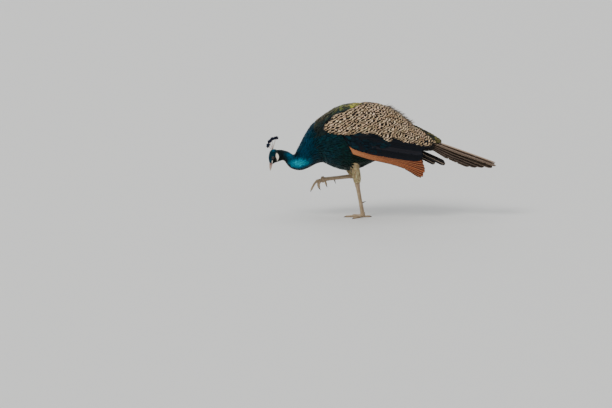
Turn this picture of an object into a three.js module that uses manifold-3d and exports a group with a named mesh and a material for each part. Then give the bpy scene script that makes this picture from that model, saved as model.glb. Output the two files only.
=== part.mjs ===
// A life-size Indian peacock after its moult, without the long train. It walks with its head low and
// one foot lifted. Millimetres, +Z up. The head points to -X and the left side to -Y. The origin is on
// the floor, under the model's middle.
import * as THREE from "three";
import { mergeVertices } from "three/addons/utils/BufferGeometryUtils.js";
import Module from "manifold-3d";

const wasm = await Module();
wasm.setup();

// ---- Driving dimensions ----

const GAP = 0.3; // between pieces that touch
const MIDLINE_GAP = 4; // between the two wings over the back
const REACH = 260; // how far a cutting prism runs out to the side
const BODY_GAP = GAP + 0.1; // between the body and what lies on it
const POINT_SPACING = 0.6; // the least space between two points of an outline
const SLIVER = 0.1; // how far a cut's small facets may move where they are joined
const SQUARENESS = { body: 2.1, wing: 2.25, head: 2.15, bill: 2.3 }; // of sections, where 2 is an ellipse

// Sections of the neck and body, from the nape to the tail base. Each runs from a point on the back
// line to a point on the belly line, as [x, z], and has a half width.
const BODY = [
  { back: [-352, 283], belly: [-346, 228], half: 14 },
  { back: [-333, 285], belly: [-330, 235], half: 17 },
  { back: [-312, 282], belly: [-314, 239], half: 18.5 },
  { back: [-291, 275], belly: [-301, 222], half: 20.5 },
  { back: [-279, 266], belly: [-287, 207], half: 23 },
  { back: [-270, 264], belly: [-262, 198], half: 26.5 },
  { back: [-263, 277], belly: [-236, 198], half: 33 },
  { back: [-250, 303], belly: [-208, 209], half: 42 },
  { back: [-231, 340], belly: [-179, 224], half: 54 },
  { back: [-202, 387], belly: [-150, 231], half: 70 },
  { back: [-156, 426], belly: [-116, 214], half: 82 },
  { back: [-97, 464], belly: [-74, 200], half: 89 },
  { back: [-35, 480], belly: [-34, 197], half: 92 },
  { back: [28, 478], belly: [18, 212], half: 92 },
  { back: [92, 458], belly: [78, 244], half: 83 },
  { back: [155, 422], belly: [138, 266], half: 68 },
  { back: [214, 378], belly: [198, 277], half: 52 },
  { back: [268, 342], belly: [254, 279], half: 39 },
  { back: [312, 322], belly: [306, 279], half: 30 },
];
// Where the neck and body part, as places in BODY.
const BODY_PARTS = {
  neck_upper: { from: 0, to: 4, rings: 8, sides: 12 },
  neck_middle: { from: 4, to: 6, rings: 5, sides: 14 },
  neck_lower: { from: 6, to: 9, rings: 6, sides: 16 },
  breast: { from: 9, to: 11.5, rings: 5, sides: 20 },
  belly: { from: 11.5, to: 15, rings: 6, sides: 20 },
  rump: { from: 15, to: 18, rings: 5, sides: 16 },
};

// The folded wing's outer surface at stations along x: its ridge, its widest level and how wide it is
// there, and its lowest level.
const WING = [
  { at: -175, top: 392, mid: 340, low: 190, half: 62 },
  { at: -120, top: 448, mid: 340, low: 175, half: 93 },
  { at: -60, top: 478, mid: 336, low: 160, half: 106 },
  { at: 5, top: 485, mid: 330, low: 145, half: 110 },
  { at: 70, top: 480, mid: 322, low: 130, half: 108 },
  { at: 130, top: 461, mid: 312, low: 115, half: 101 },
  { at: 190, top: 418, mid: 300, low: 100, half: 89 },
  { at: 250, top: 370, mid: 286, low: 85, half: 73 },
  { at: 320, top: 322, mid: 270, low: 70, half: 52 },
];

// Lines on the wing's side view, as [x, z], from front to back.
const SCAPULAR_RIDGE = [[-160, 384], [-122, 421], [-70, 449], [-18, 469], [20, 481]];
const COVERT_HEM = [[-160, 384], [-118, 366], [-74, 361], [0, 369], [34, 371], [62, 354], [124, 331]];
const TERTIAL_HEM = [[134, 346], [172, 331], [226, 318], [286, 309], [319, 318]];
const COVERT_REAR = [[124, 331], [134, 346], [148, 378], [168, 408], [190, 440]];
const WING_FRONT = [[-74, 361], [-56, 338], [-43, 306], [-38, 281]];
const SECONDARY_HEM = [[-43, 306], [34, 281], [137, 260], [236, 245]];
const SECONDARY_TIP = [[236, 245], [248, 252], [240, 274], [262, 291], [297, 302], [305, 310]];
const PRIMARY_HEM = [[-38, 281], [33, 257], [120, 236], [170, 219], [206, 198], [234, 178]];
const PRIMARY_TIPS = { feathers: 5, from: [234, 178], to: [238, 246], out: 24, scallop: 5 };
const OVER_THE_RIDGE = 560; // a level above the whole bird

// How deep each wing layer's outer and inner faces lie under the wing's outer surface.
const LAYERS = {
  scapulars: [0, 17],
  tertials: [1.5, 11],
  secondaries: [4, 14],
  primaries: [8, 14],
};

// Short coverts that are left over the tail base.
const TAIL_COVERTS = [
  { at: 182, top: 412, low: 330, half: 16 },
  { at: 230, top: 389, low: 330, half: 24 },
  { at: 275, top: 365, low: 318, half: 27 },
  { at: 312, top: 345, low: 312, half: 25 },
  { at: 340, top: 324, low: 316, half: 17 },
];

const TAIL = { thickness: 1.2, arch: 3, droop: 5 };
// The tail's layers from the top. root is [x, z], and pitch, yaw and roof are degrees down, out and
// over to the side.
const TAIL_LAYERS = [
  { root: [313, 316], length: 262, width: 40, pitch: 18.5, middle: true },
  { root: [313, 312.6], length: 264, width: 40, pitch: 18.5, yaw: 1, roof: 14 },
  { root: [313, 309.2], length: 251, width: 40, pitch: 19.2, yaw: 1.8, roof: 24 },
  { root: [313, 305.8], length: 217, width: 39, pitch: 19.9, yaw: 2.6, roof: 34 },
  { root: [313, 302.4], length: 190, width: 38, pitch: 20.6, yaw: 3.4, roof: 44 },
  { root: [313, 299], length: 160, width: 36, pitch: 21.3, yaw: 4.2, roof: 54 },
  { root: [250, 284], length: 116, width: 26, pitch: 22.5, yaw: 5, roof: 52 },
  { root: [226, 281], length: 97, width: 25, pitch: 23, yaw: 6, roof: 54 },
];

// The head lies along x in its own frame, with the eye at the origin. Its sections reach up, down and
// to the sides.
const HEAD_AT = [-360, 0, 251];
const HEAD_PITCH = 78; // degrees that the bill points down
const HEAD = [
  { at: -25, high: 9, low: 10.5, half: 7.8 },
  { at: -19, high: 12, low: 14.5, half: 10.4 },
  { at: -9, high: 15.5, low: 19, half: 13.4 },
  { at: 3, high: 17.8, low: 21.5, half: 15.8 },
  { at: 15, high: 18, low: 22, half: 17 },
  { at: 26, high: 15.5, low: 20, half: 16 },
  { at: 33, high: 10.5, low: 15, half: 12 },
  { at: 36.5, high: 4, low: 7, half: 5 },
];
const BILL = {
  base: -19,
  upperTip: -58,
  lowerTip: -51,
  upperHeight: 7.4,
  lowerHeight: 5.2,
  half: 6.6,
  gape: 0.5,
  hook: 3.5,
};
const EYE = { radius: 5.4, out: 12.4, up: 1.5 };
const CREST = {
  base: [33, 9],
  // Each feather's degrees up from straight back, and its length.
  feathers: [[-6, 54], [0, 51], [13, 49], [18, 47], [31, 43], [36, 41], [56, 34], [63, 31]],
  splay: 5,
  stem: 0.75,
  paddle: { length: 13, half: 4.6, thickness: 1.3 },
};

const HOCK = { l: [-9, -30, 146], r: [-23, 46, 166] };
const ANKLE = { l: [15, -4, 13], r: [-151, 48, 151] };
// Half widths of the bare shank, across and along, from the hock down.
const SHANK = {
  hock: [9.6, 11.5],
  upper: [7, 8.8],
  middle: [6.2, 8],
  lower: [7, 8.6],
  ankle: [8, 9.2],
  pad: 15.5,
};
// Points and half widths of each feathered leg, from inside the body down. The last half width is the
// hock's.
const THIGHS = {
  l: {
    points: [[-46, -50, 300], [-30, -48, 246], [-17, -43, 206], [-11, -37, 176]],
    radii: [[24, 32], [21, 26], [17.5, 19], [16, 19], [13, 15]],
  },
  r: {
    points: [[-64, 50, 300], [-58, 54, 250], [-46, 53, 212], [-34, 50, 186]],
    radii: [[24, 32], [20, 26], [17, 20], [15, 17.5], [12.5, 13.5]],
  },
};
const SPUR = { length: 17, radius: 3.6, share: 0.64 };
const TOES = {
  middle: { turn: 0, joint: 68, radius: 6.4 },
  inner: { turn: 44, joint: 49, radius: 5.8 },
  outer: { turn: -46, joint: 54, radius: 5.8 },
  hind: { turn: 174, joint: 28, radius: 4.7 },
};
// The lifted foot's toes: their joints from the ankle, and the way each claw bends.
const LIFTED = {
  middle: {
    joints: [[0, 0, 0], [-20, 0, -3], [-31, 0, -12], [-39, 0, -25], [-47, 0, -41]],
    droop: [0.2, 0, -0.5],
  },
  inner: { joints: [[0, 0, 0], [-11, -12, -7], [-17, -18, -18], [-15, -21, -29]], droop: [0.7, 0, -0.4] },
  outer: { joints: [[0, 0, 0], [-12, 11, -6], [-20, 17, -18], [-19, 19, -31]], droop: [0.7, 0, -0.4] },
  hind: { joints: [[8, -2, -1], [11, -4, -9], [13, -5, -15], [14, -6, -20]], droop: [0.5, 0, -0.3] },
};
const TOE_TIP = 4.4; // a toe's radius where its claw starts
const TOE_ROOT = 9.5; // height of a standing toe's root
const CLAW = { length: 13, radius: 3.3, tip: 0.7 };
const SOLE_CUT = 1; // how much of each toe's roundness the floor takes away

const COLOURS = {
  blue: 0x0b5f86,
  teal: 0x0c4a4c,
  bronze: 0x76702a,
  barred: 0xa8937c,
  dark: 0x10202a,
  rufous: 0xb4582c,
  tail: 0x6d5a48,
  buff: 0xb29a78,
  skin: 0xb8a093,
  horn: 0xb59a8c,
  claw: 0x6d5a50,
  eye: 0x2a1509,
};

// ---- Tools ----

const vector = (p) => new THREE.Vector3(...p);
const radians = THREE.MathUtils.degToRad;

// A smooth run of values through a table's rows, read at any place along it.
function through(places, values) {
  const run = new THREE.CubicInterpolant(places, values, 1);
  return (at) => run.evaluate(at)[0];
}

// The same for one column of a table whose rows state where they are.
const column = (rows, key) => through(rows.map((r) => r.at), rows.map((r) => r[key]));

// Geometry as a solid to cut or join. Faces that point in are turned round.
function solid(geometry) {
  const bare = new THREE.BufferGeometry().setAttribute("position", geometry.getAttribute("position"));
  if (geometry.index) bare.setIndex(geometry.index);
  const merged = mergeVertices(bare, 1e-3);
  const corners = new Uint32Array(merged.index.array);
  const make = () =>
    new wasm.Manifold(
      new wasm.Mesh({ numProp: 3, vertProperties: merged.attributes.position.array, triVerts: corners }),
    );
  const made = make();
  if (made.volume() > 0) return made;
  for (let i = 0; i < corners.length; i += 3) {
    [corners[i + 1], corners[i + 2]] = [corners[i + 2], corners[i + 1]];
  }
  return make();
}

// The largest piece of a solid, as geometry without the slivers that cuts leave.
function geometryOf(whole) {
  const pieces = whole.decompose();
  const largest = pieces.reduce((a, b) => (a.volume() > b.volume() ? a : b));
  const mesh = largest.simplify(SLIVER).getMesh();
  const geometry = new THREE.BufferGeometry();
  geometry.setAttribute("position", new THREE.BufferAttribute(new Float32Array(mesh.vertProperties), 3));
  geometry.setIndex(new THREE.BufferAttribute(new Uint32Array(mesh.triVerts), 1));
  return geometry;
}

// A closed body through a number of sections with rounded outlines. section(t) gives, for t from 0 to
// 1, the section's middle, its up and side directions, how far it reaches up, down and to the side, and
// how square it is.
function sweep(rings, sides, section) {
  const body = new THREE.CylinderGeometry(1, 1, 1, sides, rings - 1);
  const place = body.getAttribute("position");
  const squared = (v, power) => Math.sign(v) * Math.abs(v) ** (2 / power);
  for (let i = 0; i < place.count; i++) {
    const { middle, up, side, high, low = high, half, power = 2 } = section(0.5 - place.getY(i));
    const rise = squared(place.getX(i), power);
    const across = squared(place.getZ(i), power) * half;
    const point = middle.clone();
    point.addScaledVector(up, rise * (rise > 0 ? high : low)).addScaledVector(side, across);
    place.setXYZ(i, point.x, point.y, point.z);
  }
  return body;
}

// A limb along a curve through points. radii holds a half width, or a [side, up] pair, for each point.
function limb(points, radii, { rings = 6, sides = 8, across = [0, 1, 0], power = 2 } = {}) {
  const path = new THREE.CatmullRomCurve3(points.map(vector), false, "centripetal");
  const places = points.map((_, i) => i / (points.length - 1));
  const [half, high] = [0, 1].map((k) => through(places, radii.map((r) => (Array.isArray(r) ? r[k] : r))));
  return sweep(rings, sides, (t) => {
    const along = path.getTangent(t);
    const side = vector(across).addScaledVector(along, -along.dot(vector(across))).normalize();
    const up = new THREE.Vector3().crossVectors(along, side);
    return { middle: path.getPoint(t), up, side, high: high(t), half: half(t), power };
  });
}

// A prism on a side view's outline, from the midline out to the left. The outline is given as smooth runs
// of [x, z] points end to end. A run is left sharp when it has three points or fewer.
function prism(...runs) {
  const outline = [];
  for (const points of runs) {
    const flat = points.map((p) => new THREE.Vector2(...p));
    const traced = flat.length > 3 ? new THREE.SplineCurve(flat).getPoints(flat.length * 2) : flat;
    outline.push(...traced.filter((p) => !outline.some((q) => q.distanceTo(p) < POINT_SPACING)));
  }
  const shape = new THREE.Shape(outline);
  const block = new THREE.ExtrudeGeometry(shape, { depth: REACH, bevelEnabled: false });
  return solid(block.rotateX(Math.PI / 2).translate(0, -MIDLINE_GAP / 2, 0));
}

const reversed = (points) => [...points].reverse();
const moved = (points, dx, dz) => points.map(([x, z]) => [x + dx, z + dz]);

// ---- Neck and body ----

const bodyPlaces = BODY.map((_, i) => i);
const bodyLine = (key, axis) => through(bodyPlaces, BODY.map((s) => s[key][axis]));
const backX = bodyLine("back", 0);
const backZ = bodyLine("back", 1);
const bellyX = bodyLine("belly", 0);
const bellyZ = bodyLine("belly", 1);
const bodyHalf = through(bodyPlaces, BODY.map((s) => s.half));

function bodyStretch({ from, to, rings, sides }, grown = 0) {
  return sweep(rings, sides, (t) => {
    const at = THREE.MathUtils.lerp(from, to, t);
    const back = new THREE.Vector3(backX(at), 0, backZ(at));
    const belly = new THREE.Vector3(bellyX(at), 0, bellyZ(at));
    return {
      middle: back.clone().add(belly).multiplyScalar(0.5),
      up: back.clone().sub(belly).normalize(),
      side: new THREE.Vector3(0, 1, 0),
      high: back.distanceTo(belly) / 2 + grown,
      half: bodyHalf(at) + grown,
      power: SQUARENESS.body,
    };
  });
}

const bodyGrown = Object.entries(BODY_PARTS)
  .filter(([name]) => !name.startsWith("neck"))
  .map(([, part]) => solid(bodyStretch(part, BODY_GAP)))
  .reduce((a, b) => a.add(b));

function bodyPart(name) {
  const part = BODY_PARTS[name];
  const shave = GAP / 60; // in places along BODY, so that neighbours stay apart
  return geometryOf(solid(bodyStretch({ ...part, from: part.from + shave, to: part.to - shave })));
}

// ---- Wings ----

const wing = Object.fromEntries(["top", "mid", "low", "half"].map((key) => [key, column(WING, key)]));
const wingStart = WING[0].at;
const wingEnd = WING[WING.length - 1].at;

// The body that the folded wing's surface encloses, sunk by a depth.
function wingBody(sunk) {
  return solid(
    sweep(11, 20, (t) => {
      const x = THREE.MathUtils.lerp(wingStart, wingEnd, t);
      return {
        middle: new THREE.Vector3(x, 0, wing.mid(x)),
        up: new THREE.Vector3(0, 0, 1),
        side: new THREE.Vector3(0, 1, 0),
        high: wing.top(x) - wing.mid(x) - sunk,
        low: wing.mid(x) - wing.low(x),
        half: wing.half(x) - sunk,
        power: SQUARENESS.wing,
      };
    }),
  );
}

// A row of feather tips as an outline that runs up and bulges back.
function scallops({ feathers, from, to, out, scallop }) {
  const edge = [];
  const steps = 3; // along each tip
  for (let i = 0; i <= feathers * steps; i++) {
    const t = i / (feathers * steps);
    const tip = Math.sin(Math.PI * ((i % steps) / steps));
    const bulge = out * Math.sin(Math.PI * Math.min(1, t * 0.8 + 0.12)) + scallop * tip;
    edge.push([from[0] + (to[0] - from[0]) * t + bulge, from[1] + (to[1] - from[1]) * t - bulge * 0.2]);
  }
  return edge;
}

// The side views of the wing's layers. Each is cut clear of the layers that lie over it.
function wingBlocks() {
  const shifts = [[0, 0, -GAP], [GAP, 0, 0], [-GAP, 0, 0]];
  const around = (block) => shifts.reduce((whole, shift) => whole.add(block.translate(shift)), block);
  const scapulars = prism(
    SCAPULAR_RIDGE,
    [[20, 481], [60, OVER_THE_RIDGE], [190, 440]],
    reversed(COVERT_REAR),
    reversed(COVERT_HEM),
  );
  const tertials = prism(
    moved(COVERT_REAR.slice(1), -4, 0),
    [[190, 440], [330, 400], [319, 318]],
    reversed(TERTIAL_HEM),
  ).subtract(around(scapulars));
  const secondaries = prism(
    WING_FRONT.slice(0, 3),
    SECONDARY_HEM,
    SECONDARY_TIP,
    reversed(moved(TERTIAL_HEM.slice(0, 4), 0, 4)),
    reversed(moved(COVERT_HEM.slice(2), 0, 4)),
  )
    .subtract(around(scapulars))
    .subtract(around(tertials));
  const primaries = prism(
    WING_FRONT.slice(2),
    PRIMARY_HEM,
    scallops(PRIMARY_TIPS),
    reversed(moved(SECONDARY_HEM, 0, 4)),
  ).subtract(around(secondaries));
  return { scapulars, tertials, secondaries, primaries };
}
const blocks = wingBlocks();

function wingPart(name, side) {
  const [outer, inner] = LAYERS[name];
  const block = side === "l" ? blocks[name] : blocks[name].mirror([0, 1, 0]);
  const plate = block.intersect(wingBody(outer)).subtract(wingBody(inner));
  return geometryOf(plate.subtract(bodyGrown).subtract(tailCovertsGrown));
}

// ---- Tail ----

const coverts = Object.fromEntries(["top", "low", "half"].map((key) => [key, column(TAIL_COVERTS, key)]));

function tailCovertBody(grown) {
  const [first, last] = [TAIL_COVERTS[0].at, TAIL_COVERTS[TAIL_COVERTS.length - 1].at];
  return solid(
    sweep(7, 12, (t) => {
      const x = THREE.MathUtils.lerp(first, last, t);
      return {
        middle: new THREE.Vector3(x, 0, coverts.low(x)),
        up: new THREE.Vector3(0, 0, 1),
        side: new THREE.Vector3(0, 1, 0),
        high: coverts.top(x) - coverts.low(x) + grown,
        low: 2 + grown,
        half: coverts.half(x) + grown,
      };
    }),
  );
}
const tailCovertsGrown = tailCovertBody(GAP);
const rumpGrown = solid(bodyStretch(BODY_PARTS.rump, BODY_GAP));

// One tail feather: a thin arched plate with a rounded tip. side is -1 on the left and 1 on the right.
function tailFeather({ root, length, width, pitch, middle = false, yaw = 0, roof = 0 }, side) {
  const [lean, spread] = [radians(roof), Math.tan(radians(yaw))];
  const plate = new THREE.BoxGeometry(1, 2, TAIL.thickness, 6, 2, 1);
  const place = plate.getAttribute("position");
  for (let i = 0; i < place.count; i++) {
    const along = place.getX(i) + 0.5;
    const across = place.getY(i);
    const waist = 0.6 + 0.4 * Math.min(1, along / 0.4);
    const rounding = along > 0.88 ? Math.sqrt(1 - ((along - 0.88) / 0.125) ** 2) : waist;
    const rise = place.getZ(i) + TAIL.arch * (1 - across ** 2);
    const out = ((across + (middle ? 0 : 1)) * width * rounding) / 2;
    const apart = 1 + along * length * spread;
    const y = middle ? out : side * (apart + out * Math.cos(lean) + rise * Math.sin(lean));
    const z = rise * Math.cos(lean) - Math.abs(out) * Math.sin(lean) - TAIL.droop * along ** 2;
    place.setXYZ(i, length * along, y, z);
  }
  return plate.rotateY(radians(pitch)).translate(root[0], 0, root[1]);
}

// ---- Head ----

const headColumn = Object.fromEntries(["high", "low", "half"].map((key) => [key, column(HEAD, key)]));

function headBody(grown = 0) {
  const [first, last] = [HEAD[0].at, HEAD[HEAD.length - 1].at];
  return solid(
    sweep(9, 12, (t) => {
      const x = THREE.MathUtils.lerp(first - grown, last + grown, t);
      const at = THREE.MathUtils.clamp(x, first, last);
      return {
        middle: new THREE.Vector3(x, 0, 0),
        up: new THREE.Vector3(0, 0, 1),
        side: new THREE.Vector3(0, 1, 0),
        high: headColumn.high(at) + grown,
        low: headColumn.low(at) + grown,
        half: headColumn.half(at) + grown,
        power: SQUARENESS.head,
      };
    }),
  );
}

// An eyeball on one side.
function eyeball(side, radius) {
  const ball = new THREE.SphereGeometry(radius, 8, 6);
  return ball.rotateX(Math.PI / 2).translate(0, side * EYE.out, EYE.up);
}

function head() {
  return geometryOf(
    headBody()
      .subtract(solid(eyeball(-1, EYE.radius + GAP)))
      .subtract(solid(eyeball(1, EYE.radius + GAP))),
  );
}

// Half of the bill, above or below the gape line. It narrows to its tip, and the line bends down there.
function billHalf(tip, height, upper) {
  const thin = 0.35;
  const half = sweep(8, 10, (t) => {
    const x = THREE.MathUtils.lerp(BILL.base, tip, t);
    const along = (BILL.base - x) / (BILL.base - BILL.upperTip);
    const gape = BILL.gape - BILL.hook * along ** 2.6 - (upper ? 0 : thin * 2 + GAP);
    const narrow = (1 - along ** 1.6) ** 0.75 + 0.1;
    const deep = height * narrow;
    return {
      middle: new THREE.Vector3(x, 0, gape),
      up: new THREE.Vector3(0, 0, 1),
      side: new THREE.Vector3(0, 1, 0),
      high: upper ? deep : thin,
      low: upper ? thin : deep,
      half: BILL.half * narrow * (upper ? 1 : 0.9),
      power: SQUARENESS.bill,
    };
  });
  return geometryOf(solid(half).subtract(headBody(GAP)));
}

// The crest: bare stems in a fan, each with a small paddle at its end, on a low mound of the crown.
function crest() {
  const [baseX, baseZ] = CREST.base;
  const mound = new THREE.SphereGeometry(4.2, 6, 4).scale(1.5, 0.8, 0.8).translate(baseX, 0, baseZ);
  let whole = solid(mound);
  for (const [i, [rise, length]] of CREST.feathers.entries()) {
    const angle = radians(rise);
    const splay = radians(CREST.splay) * (i % 2 ? 1 : -1);
    const direction = new THREE.Vector3(Math.cos(angle), Math.sin(splay), Math.sin(angle)).normalize();
    const start = new THREE.Vector3(baseX + 3 - 0.8 * i, 0, baseZ);
    const end = start.clone().addScaledVector(direction, length - CREST.paddle.length * 0.8);
    const stem = limb([start.toArray(), end.toArray()], [CREST.stem, CREST.stem], { rings: 2, sides: 3 });
    const paddle = new THREE.SphereGeometry(1, 6, 3);
    paddle.scale(CREST.paddle.length / 2, CREST.paddle.thickness / 2, CREST.paddle.half);
    paddle.rotateY(-angle).translate(...start.clone().addScaledVector(direction, length - 6).toArray());
    whole = whole.add(solid(stem)).add(solid(paddle));
  }
  return geometryOf(whole.subtract(headBody(GAP)));
}

// ---- Legs ----

const between = (a, b, share) => a.map((v, i) => v + (b[i] - v) * share);

// An oval knob at a joint.
function knob([x, y, z], [half, high], tall) {
  return solid(new THREE.SphereGeometry(1, 7, 5).scale(high, half, tall).translate(x, y, z));
}

// The bare shank from hock to ankle, with the knobs of both joints.
function shankBone(side, grown) {
  const [top, bottom] = [HOCK[side], ANKLE[side]];
  const wide = ([half, high], by = grown) => [half + by, high + by];
  const shaft = limb(
    [top, between(top, bottom, 0.16), between(top, bottom, 0.55), between(top, bottom, 0.88), bottom],
    [SHANK.hock, SHANK.upper, SHANK.middle, SHANK.lower, SHANK.ankle].map((widths) => wide(widths)),
    { rings: 5, sides: 8 },
  );
  return solid(shaft)
    .add(knob(top, wide(SHANK.hock), SHANK.hock[1] + grown))
    .add(knob(bottom, wide(SHANK.ankle, grown + 2), SHANK.pad + grown));
}

// The feathered thigh and leg down to the hock, cut where the body and the shank fill it.
function thigh(points, radii, side) {
  const [x, y, z] = HOCK[side];
  const leg = solid(limb([...points, [x, y, z + 4]], radii, { rings: 6, sides: 9 }));
  return geometryOf(leg.subtract(bodyGrown).subtract(shankBone(side, GAP)));
}

function aboveFloor(whole) {
  const slab = new THREE.BoxGeometry(900, 400, 100).translate(0, 0, -50);
  return whole.subtract(solid(slab));
}

function shank(side) {
  const bone = shankBone(side, 0);
  return geometryOf(side === "l" ? aboveFloor(bone) : bone);
}

// The cock's spur, on the back of the shank and a little inside.
function spur(side) {
  const start = between(HOCK[side], ANKLE[side], SPUR.share);
  const reach = SPUR.length + SHANK.middle[0];
  const [dx, dy, dz] = side === "l" ? [1, 0.3, 0.3] : [0.35, -0.3, -1];
  const tip = [start[0] + dx * reach, start[1] + dy * reach, start[2] + dz * reach];
  const horn = limb([start, between(start, tip, 0.5), tip], [SPUR.radius, SPUR.radius * 0.8, 0.5], {
    rings: 5,
    sides: 6,
  });
  return geometryOf(solid(horn).subtract(shankBone(side, GAP)));
}

// A toe through its joints, and the claw that goes on from its end and bends by droop, a direction. The
// toe is cut clear of the shank and of the toes made before it, which stand in taken.
function toeWithClaw(joints, radius, droop, side, taken) {
  const end = vector(joints[joints.length - 1]);
  const along = end.clone().sub(vector(joints[joints.length - 2])).normalize();
  const bend = vector(droop);
  const across = new THREE.Vector3().crossVectors(along, bend).normalize().toArray();
  const halfway = end.clone().addScaledVector(along, CLAW.length * 0.5).addScaledVector(bend, 1.2);
  const tip = end.clone().addScaledVector(along, CLAW.length * 0.85).addScaledVector(bend, 6);
  const last = joints.length - 1;
  const toe = (grown) => {
    const radii = joints.map((_, i) => THREE.MathUtils.lerp(radius, TOE_TIP, i / last) + grown);
    return solid(limb(joints, radii, { rings: 4, sides: 6, across }));
  };
  const cap = (grown) => {
    const ball = new THREE.SphereGeometry(TOE_TIP + 0.3 + grown, 6, 4);
    return solid(ball.translate(...end.toArray()));
  };
  const route = [end, halfway, tip].map((point) => point.toArray());
  const claw = solid(
    limb(route, [CLAW.radius, CLAW.radius * 0.72, CLAW.tip], { rings: 4, sides: 5, across }),
  );
  const clear = taken[side].reduce((piece, other) => piece.subtract(other), toe(0).add(cap(0)));
  taken[side].push(toe(GAP));
  const finish = (piece) => geometryOf(side === "l" ? aboveFloor(piece) : piece);
  return { toe: finish(clear), claw: finish(claw.subtract(cap(GAP))) };
}

// A toe of the standing foot. It lies along the floor, turned from straight ahead towards the midline.
function standingToe({ turn, joint, radius }, taken) {
  const [x, y] = ANKLE.l;
  const ahead = new THREE.Vector3(-Math.cos(radians(turn)), Math.sin(radians(turn)), 0);
  const at = (share, z) => [x + ahead.x * joint * share, y + ahead.y * joint * share, z];
  const middle = (radius + TOE_TIP) / 2;
  const joints = [
    at(0.02, TOE_ROOT),
    at(0.35, radius - SOLE_CUT),
    at(0.7, middle - SOLE_CUT),
    at(1, TOE_TIP - SOLE_CUT),
  ];
  return toeWithClaw(joints, radius, [0, 0, -0.45], "l", taken);
}

// A toe of the lifted foot, which hangs from the ankle through the joints given from there.
function hangingToe({ joints, droop }, radius, taken) {
  const ankle = ANKLE.r;
  const placed = joints.map((offset) => offset.map((v, i) => ankle[i] + v));
  return toeWithClaw(placed, radius, droop, "r", taken);
}
// ---- Assembly ----

const model = new THREE.Group();

function add(name, colour, geometry, parent = model, roughness = 0.7, metalness = 0) {
  const material = new THREE.MeshStandardMaterial({ color: COLOURS[colour], roughness, metalness });
  const mesh = new THREE.Mesh(geometry, material);
  mesh.name = name;
  parent.add(mesh);
  return mesh;
}

const headFrame = new THREE.Group();
headFrame.position.set(...HEAD_AT);
headFrame.rotation.y = -radians(HEAD_PITCH);
headFrame.updateMatrixWorld(true);
model.add(headFrame);

add("head", "blue", head(), headFrame, 0.5, 0.3);
add("bill_upper", "horn", billHalf(BILL.upperTip, BILL.upperHeight, true), headFrame, 0.45);
add("bill_lower", "horn", billHalf(BILL.lowerTip, BILL.lowerHeight, false), headFrame, 0.45);
add("eye_l", "eye", eyeball(-1, EYE.radius), headFrame, 0.1);
add("eye_r", "eye", eyeball(1, EYE.radius), headFrame, 0.1);
add("crest", "blue", crest(), headFrame, 0.6);

const headInPlace = solid(geometryOf(headBody(GAP)).applyMatrix4(headFrame.matrixWorld));
add("neck_upper", "blue", geometryOf(solid(bodyPart("neck_upper")).subtract(headInPlace)), model, 0.5, 0.3);
add("neck_middle", "blue", bodyPart("neck_middle"), model, 0.5, 0.3);
add("neck_lower", "blue", bodyPart("neck_lower"), model, 0.5, 0.3);
add("breast", "teal", bodyPart("breast"), model, 0.5, 0.3);
add("belly", "teal", bodyPart("belly"), model, 0.6, 0.1);
add("rump", "bronze", bodyPart("rump"), model, 0.6, 0.2);
add("tail_coverts", "bronze", geometryOf(tailCovertBody(0).subtract(bodyGrown)), model, 0.5, 0.2);

const WING_COLOURS = { scapulars: "barred", tertials: "barred", secondaries: "dark", primaries: "rufous" };
for (const [name, colour] of Object.entries(WING_COLOURS)) {
  for (const side of ["l", "r"]) add(`wing_${side}_${name}`, colour, wingPart(name, side));
}

const clearOfTail = (geometry) =>
  geometryOf(solid(geometry).subtract(rumpGrown).subtract(tailCovertsGrown));
TAIL_LAYERS.forEach((layer, level) => {
  if (layer.middle) {
    add("tail_feather_centre", "tail", clearOfTail(tailFeather(layer, 1)));
    return;
  }
  add(`tail_feather_l${level}`, "tail", clearOfTail(tailFeather(layer, -1)));
  add(`tail_feather_r${level}`, "tail", clearOfTail(tailFeather(layer, 1)));
});

for (const side of ["l", "r"]) {
  const { points, radii } = THIGHS[side];
  add(`thigh_${side}`, "buff", thigh(points, radii, side));
  add(`shank_${side}`, "skin", shank(side));
  add(`spur_${side}`, "claw", spur(side), model, 0.4);
}

const taken = { l: [shankBone("l", GAP)], r: [shankBone("r", GAP)] };
for (const [name, toe] of Object.entries(TOES)) {
  const feet = { l: standingToe(toe, taken), r: hangingToe(LIFTED[name], toe.radius, taken) };
  for (const side of ["l", "r"]) {
    add(`toe_${side}_${name}`, "skin", feet[side].toe);
    add(`claw_${side}_${name}`, "claw", feet[side].claw, model, 0.4);
  }
}

// The origin goes under the middle of the whole model.
const bounds = new THREE.Box3().setFromObject(model, true);
const centre = bounds.getCenter(new THREE.Vector3());
model.position.set(-centre.x, -centre.y, -bounds.min.z);

export default model;
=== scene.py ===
"""A life-size Indian peacock without its long train, walking with its head low and one foot lifted.
Shapes are worked out in millimetres, with the head to -X, the left side to -Y and the floor at Z 0."""

import math

import bmesh
import bpy
import numpy as np
from mathutils import Matrix, Vector, noise
from mathutils.bvhtree import BVHTree
from mathutils.kdtree import KDTree


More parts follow.
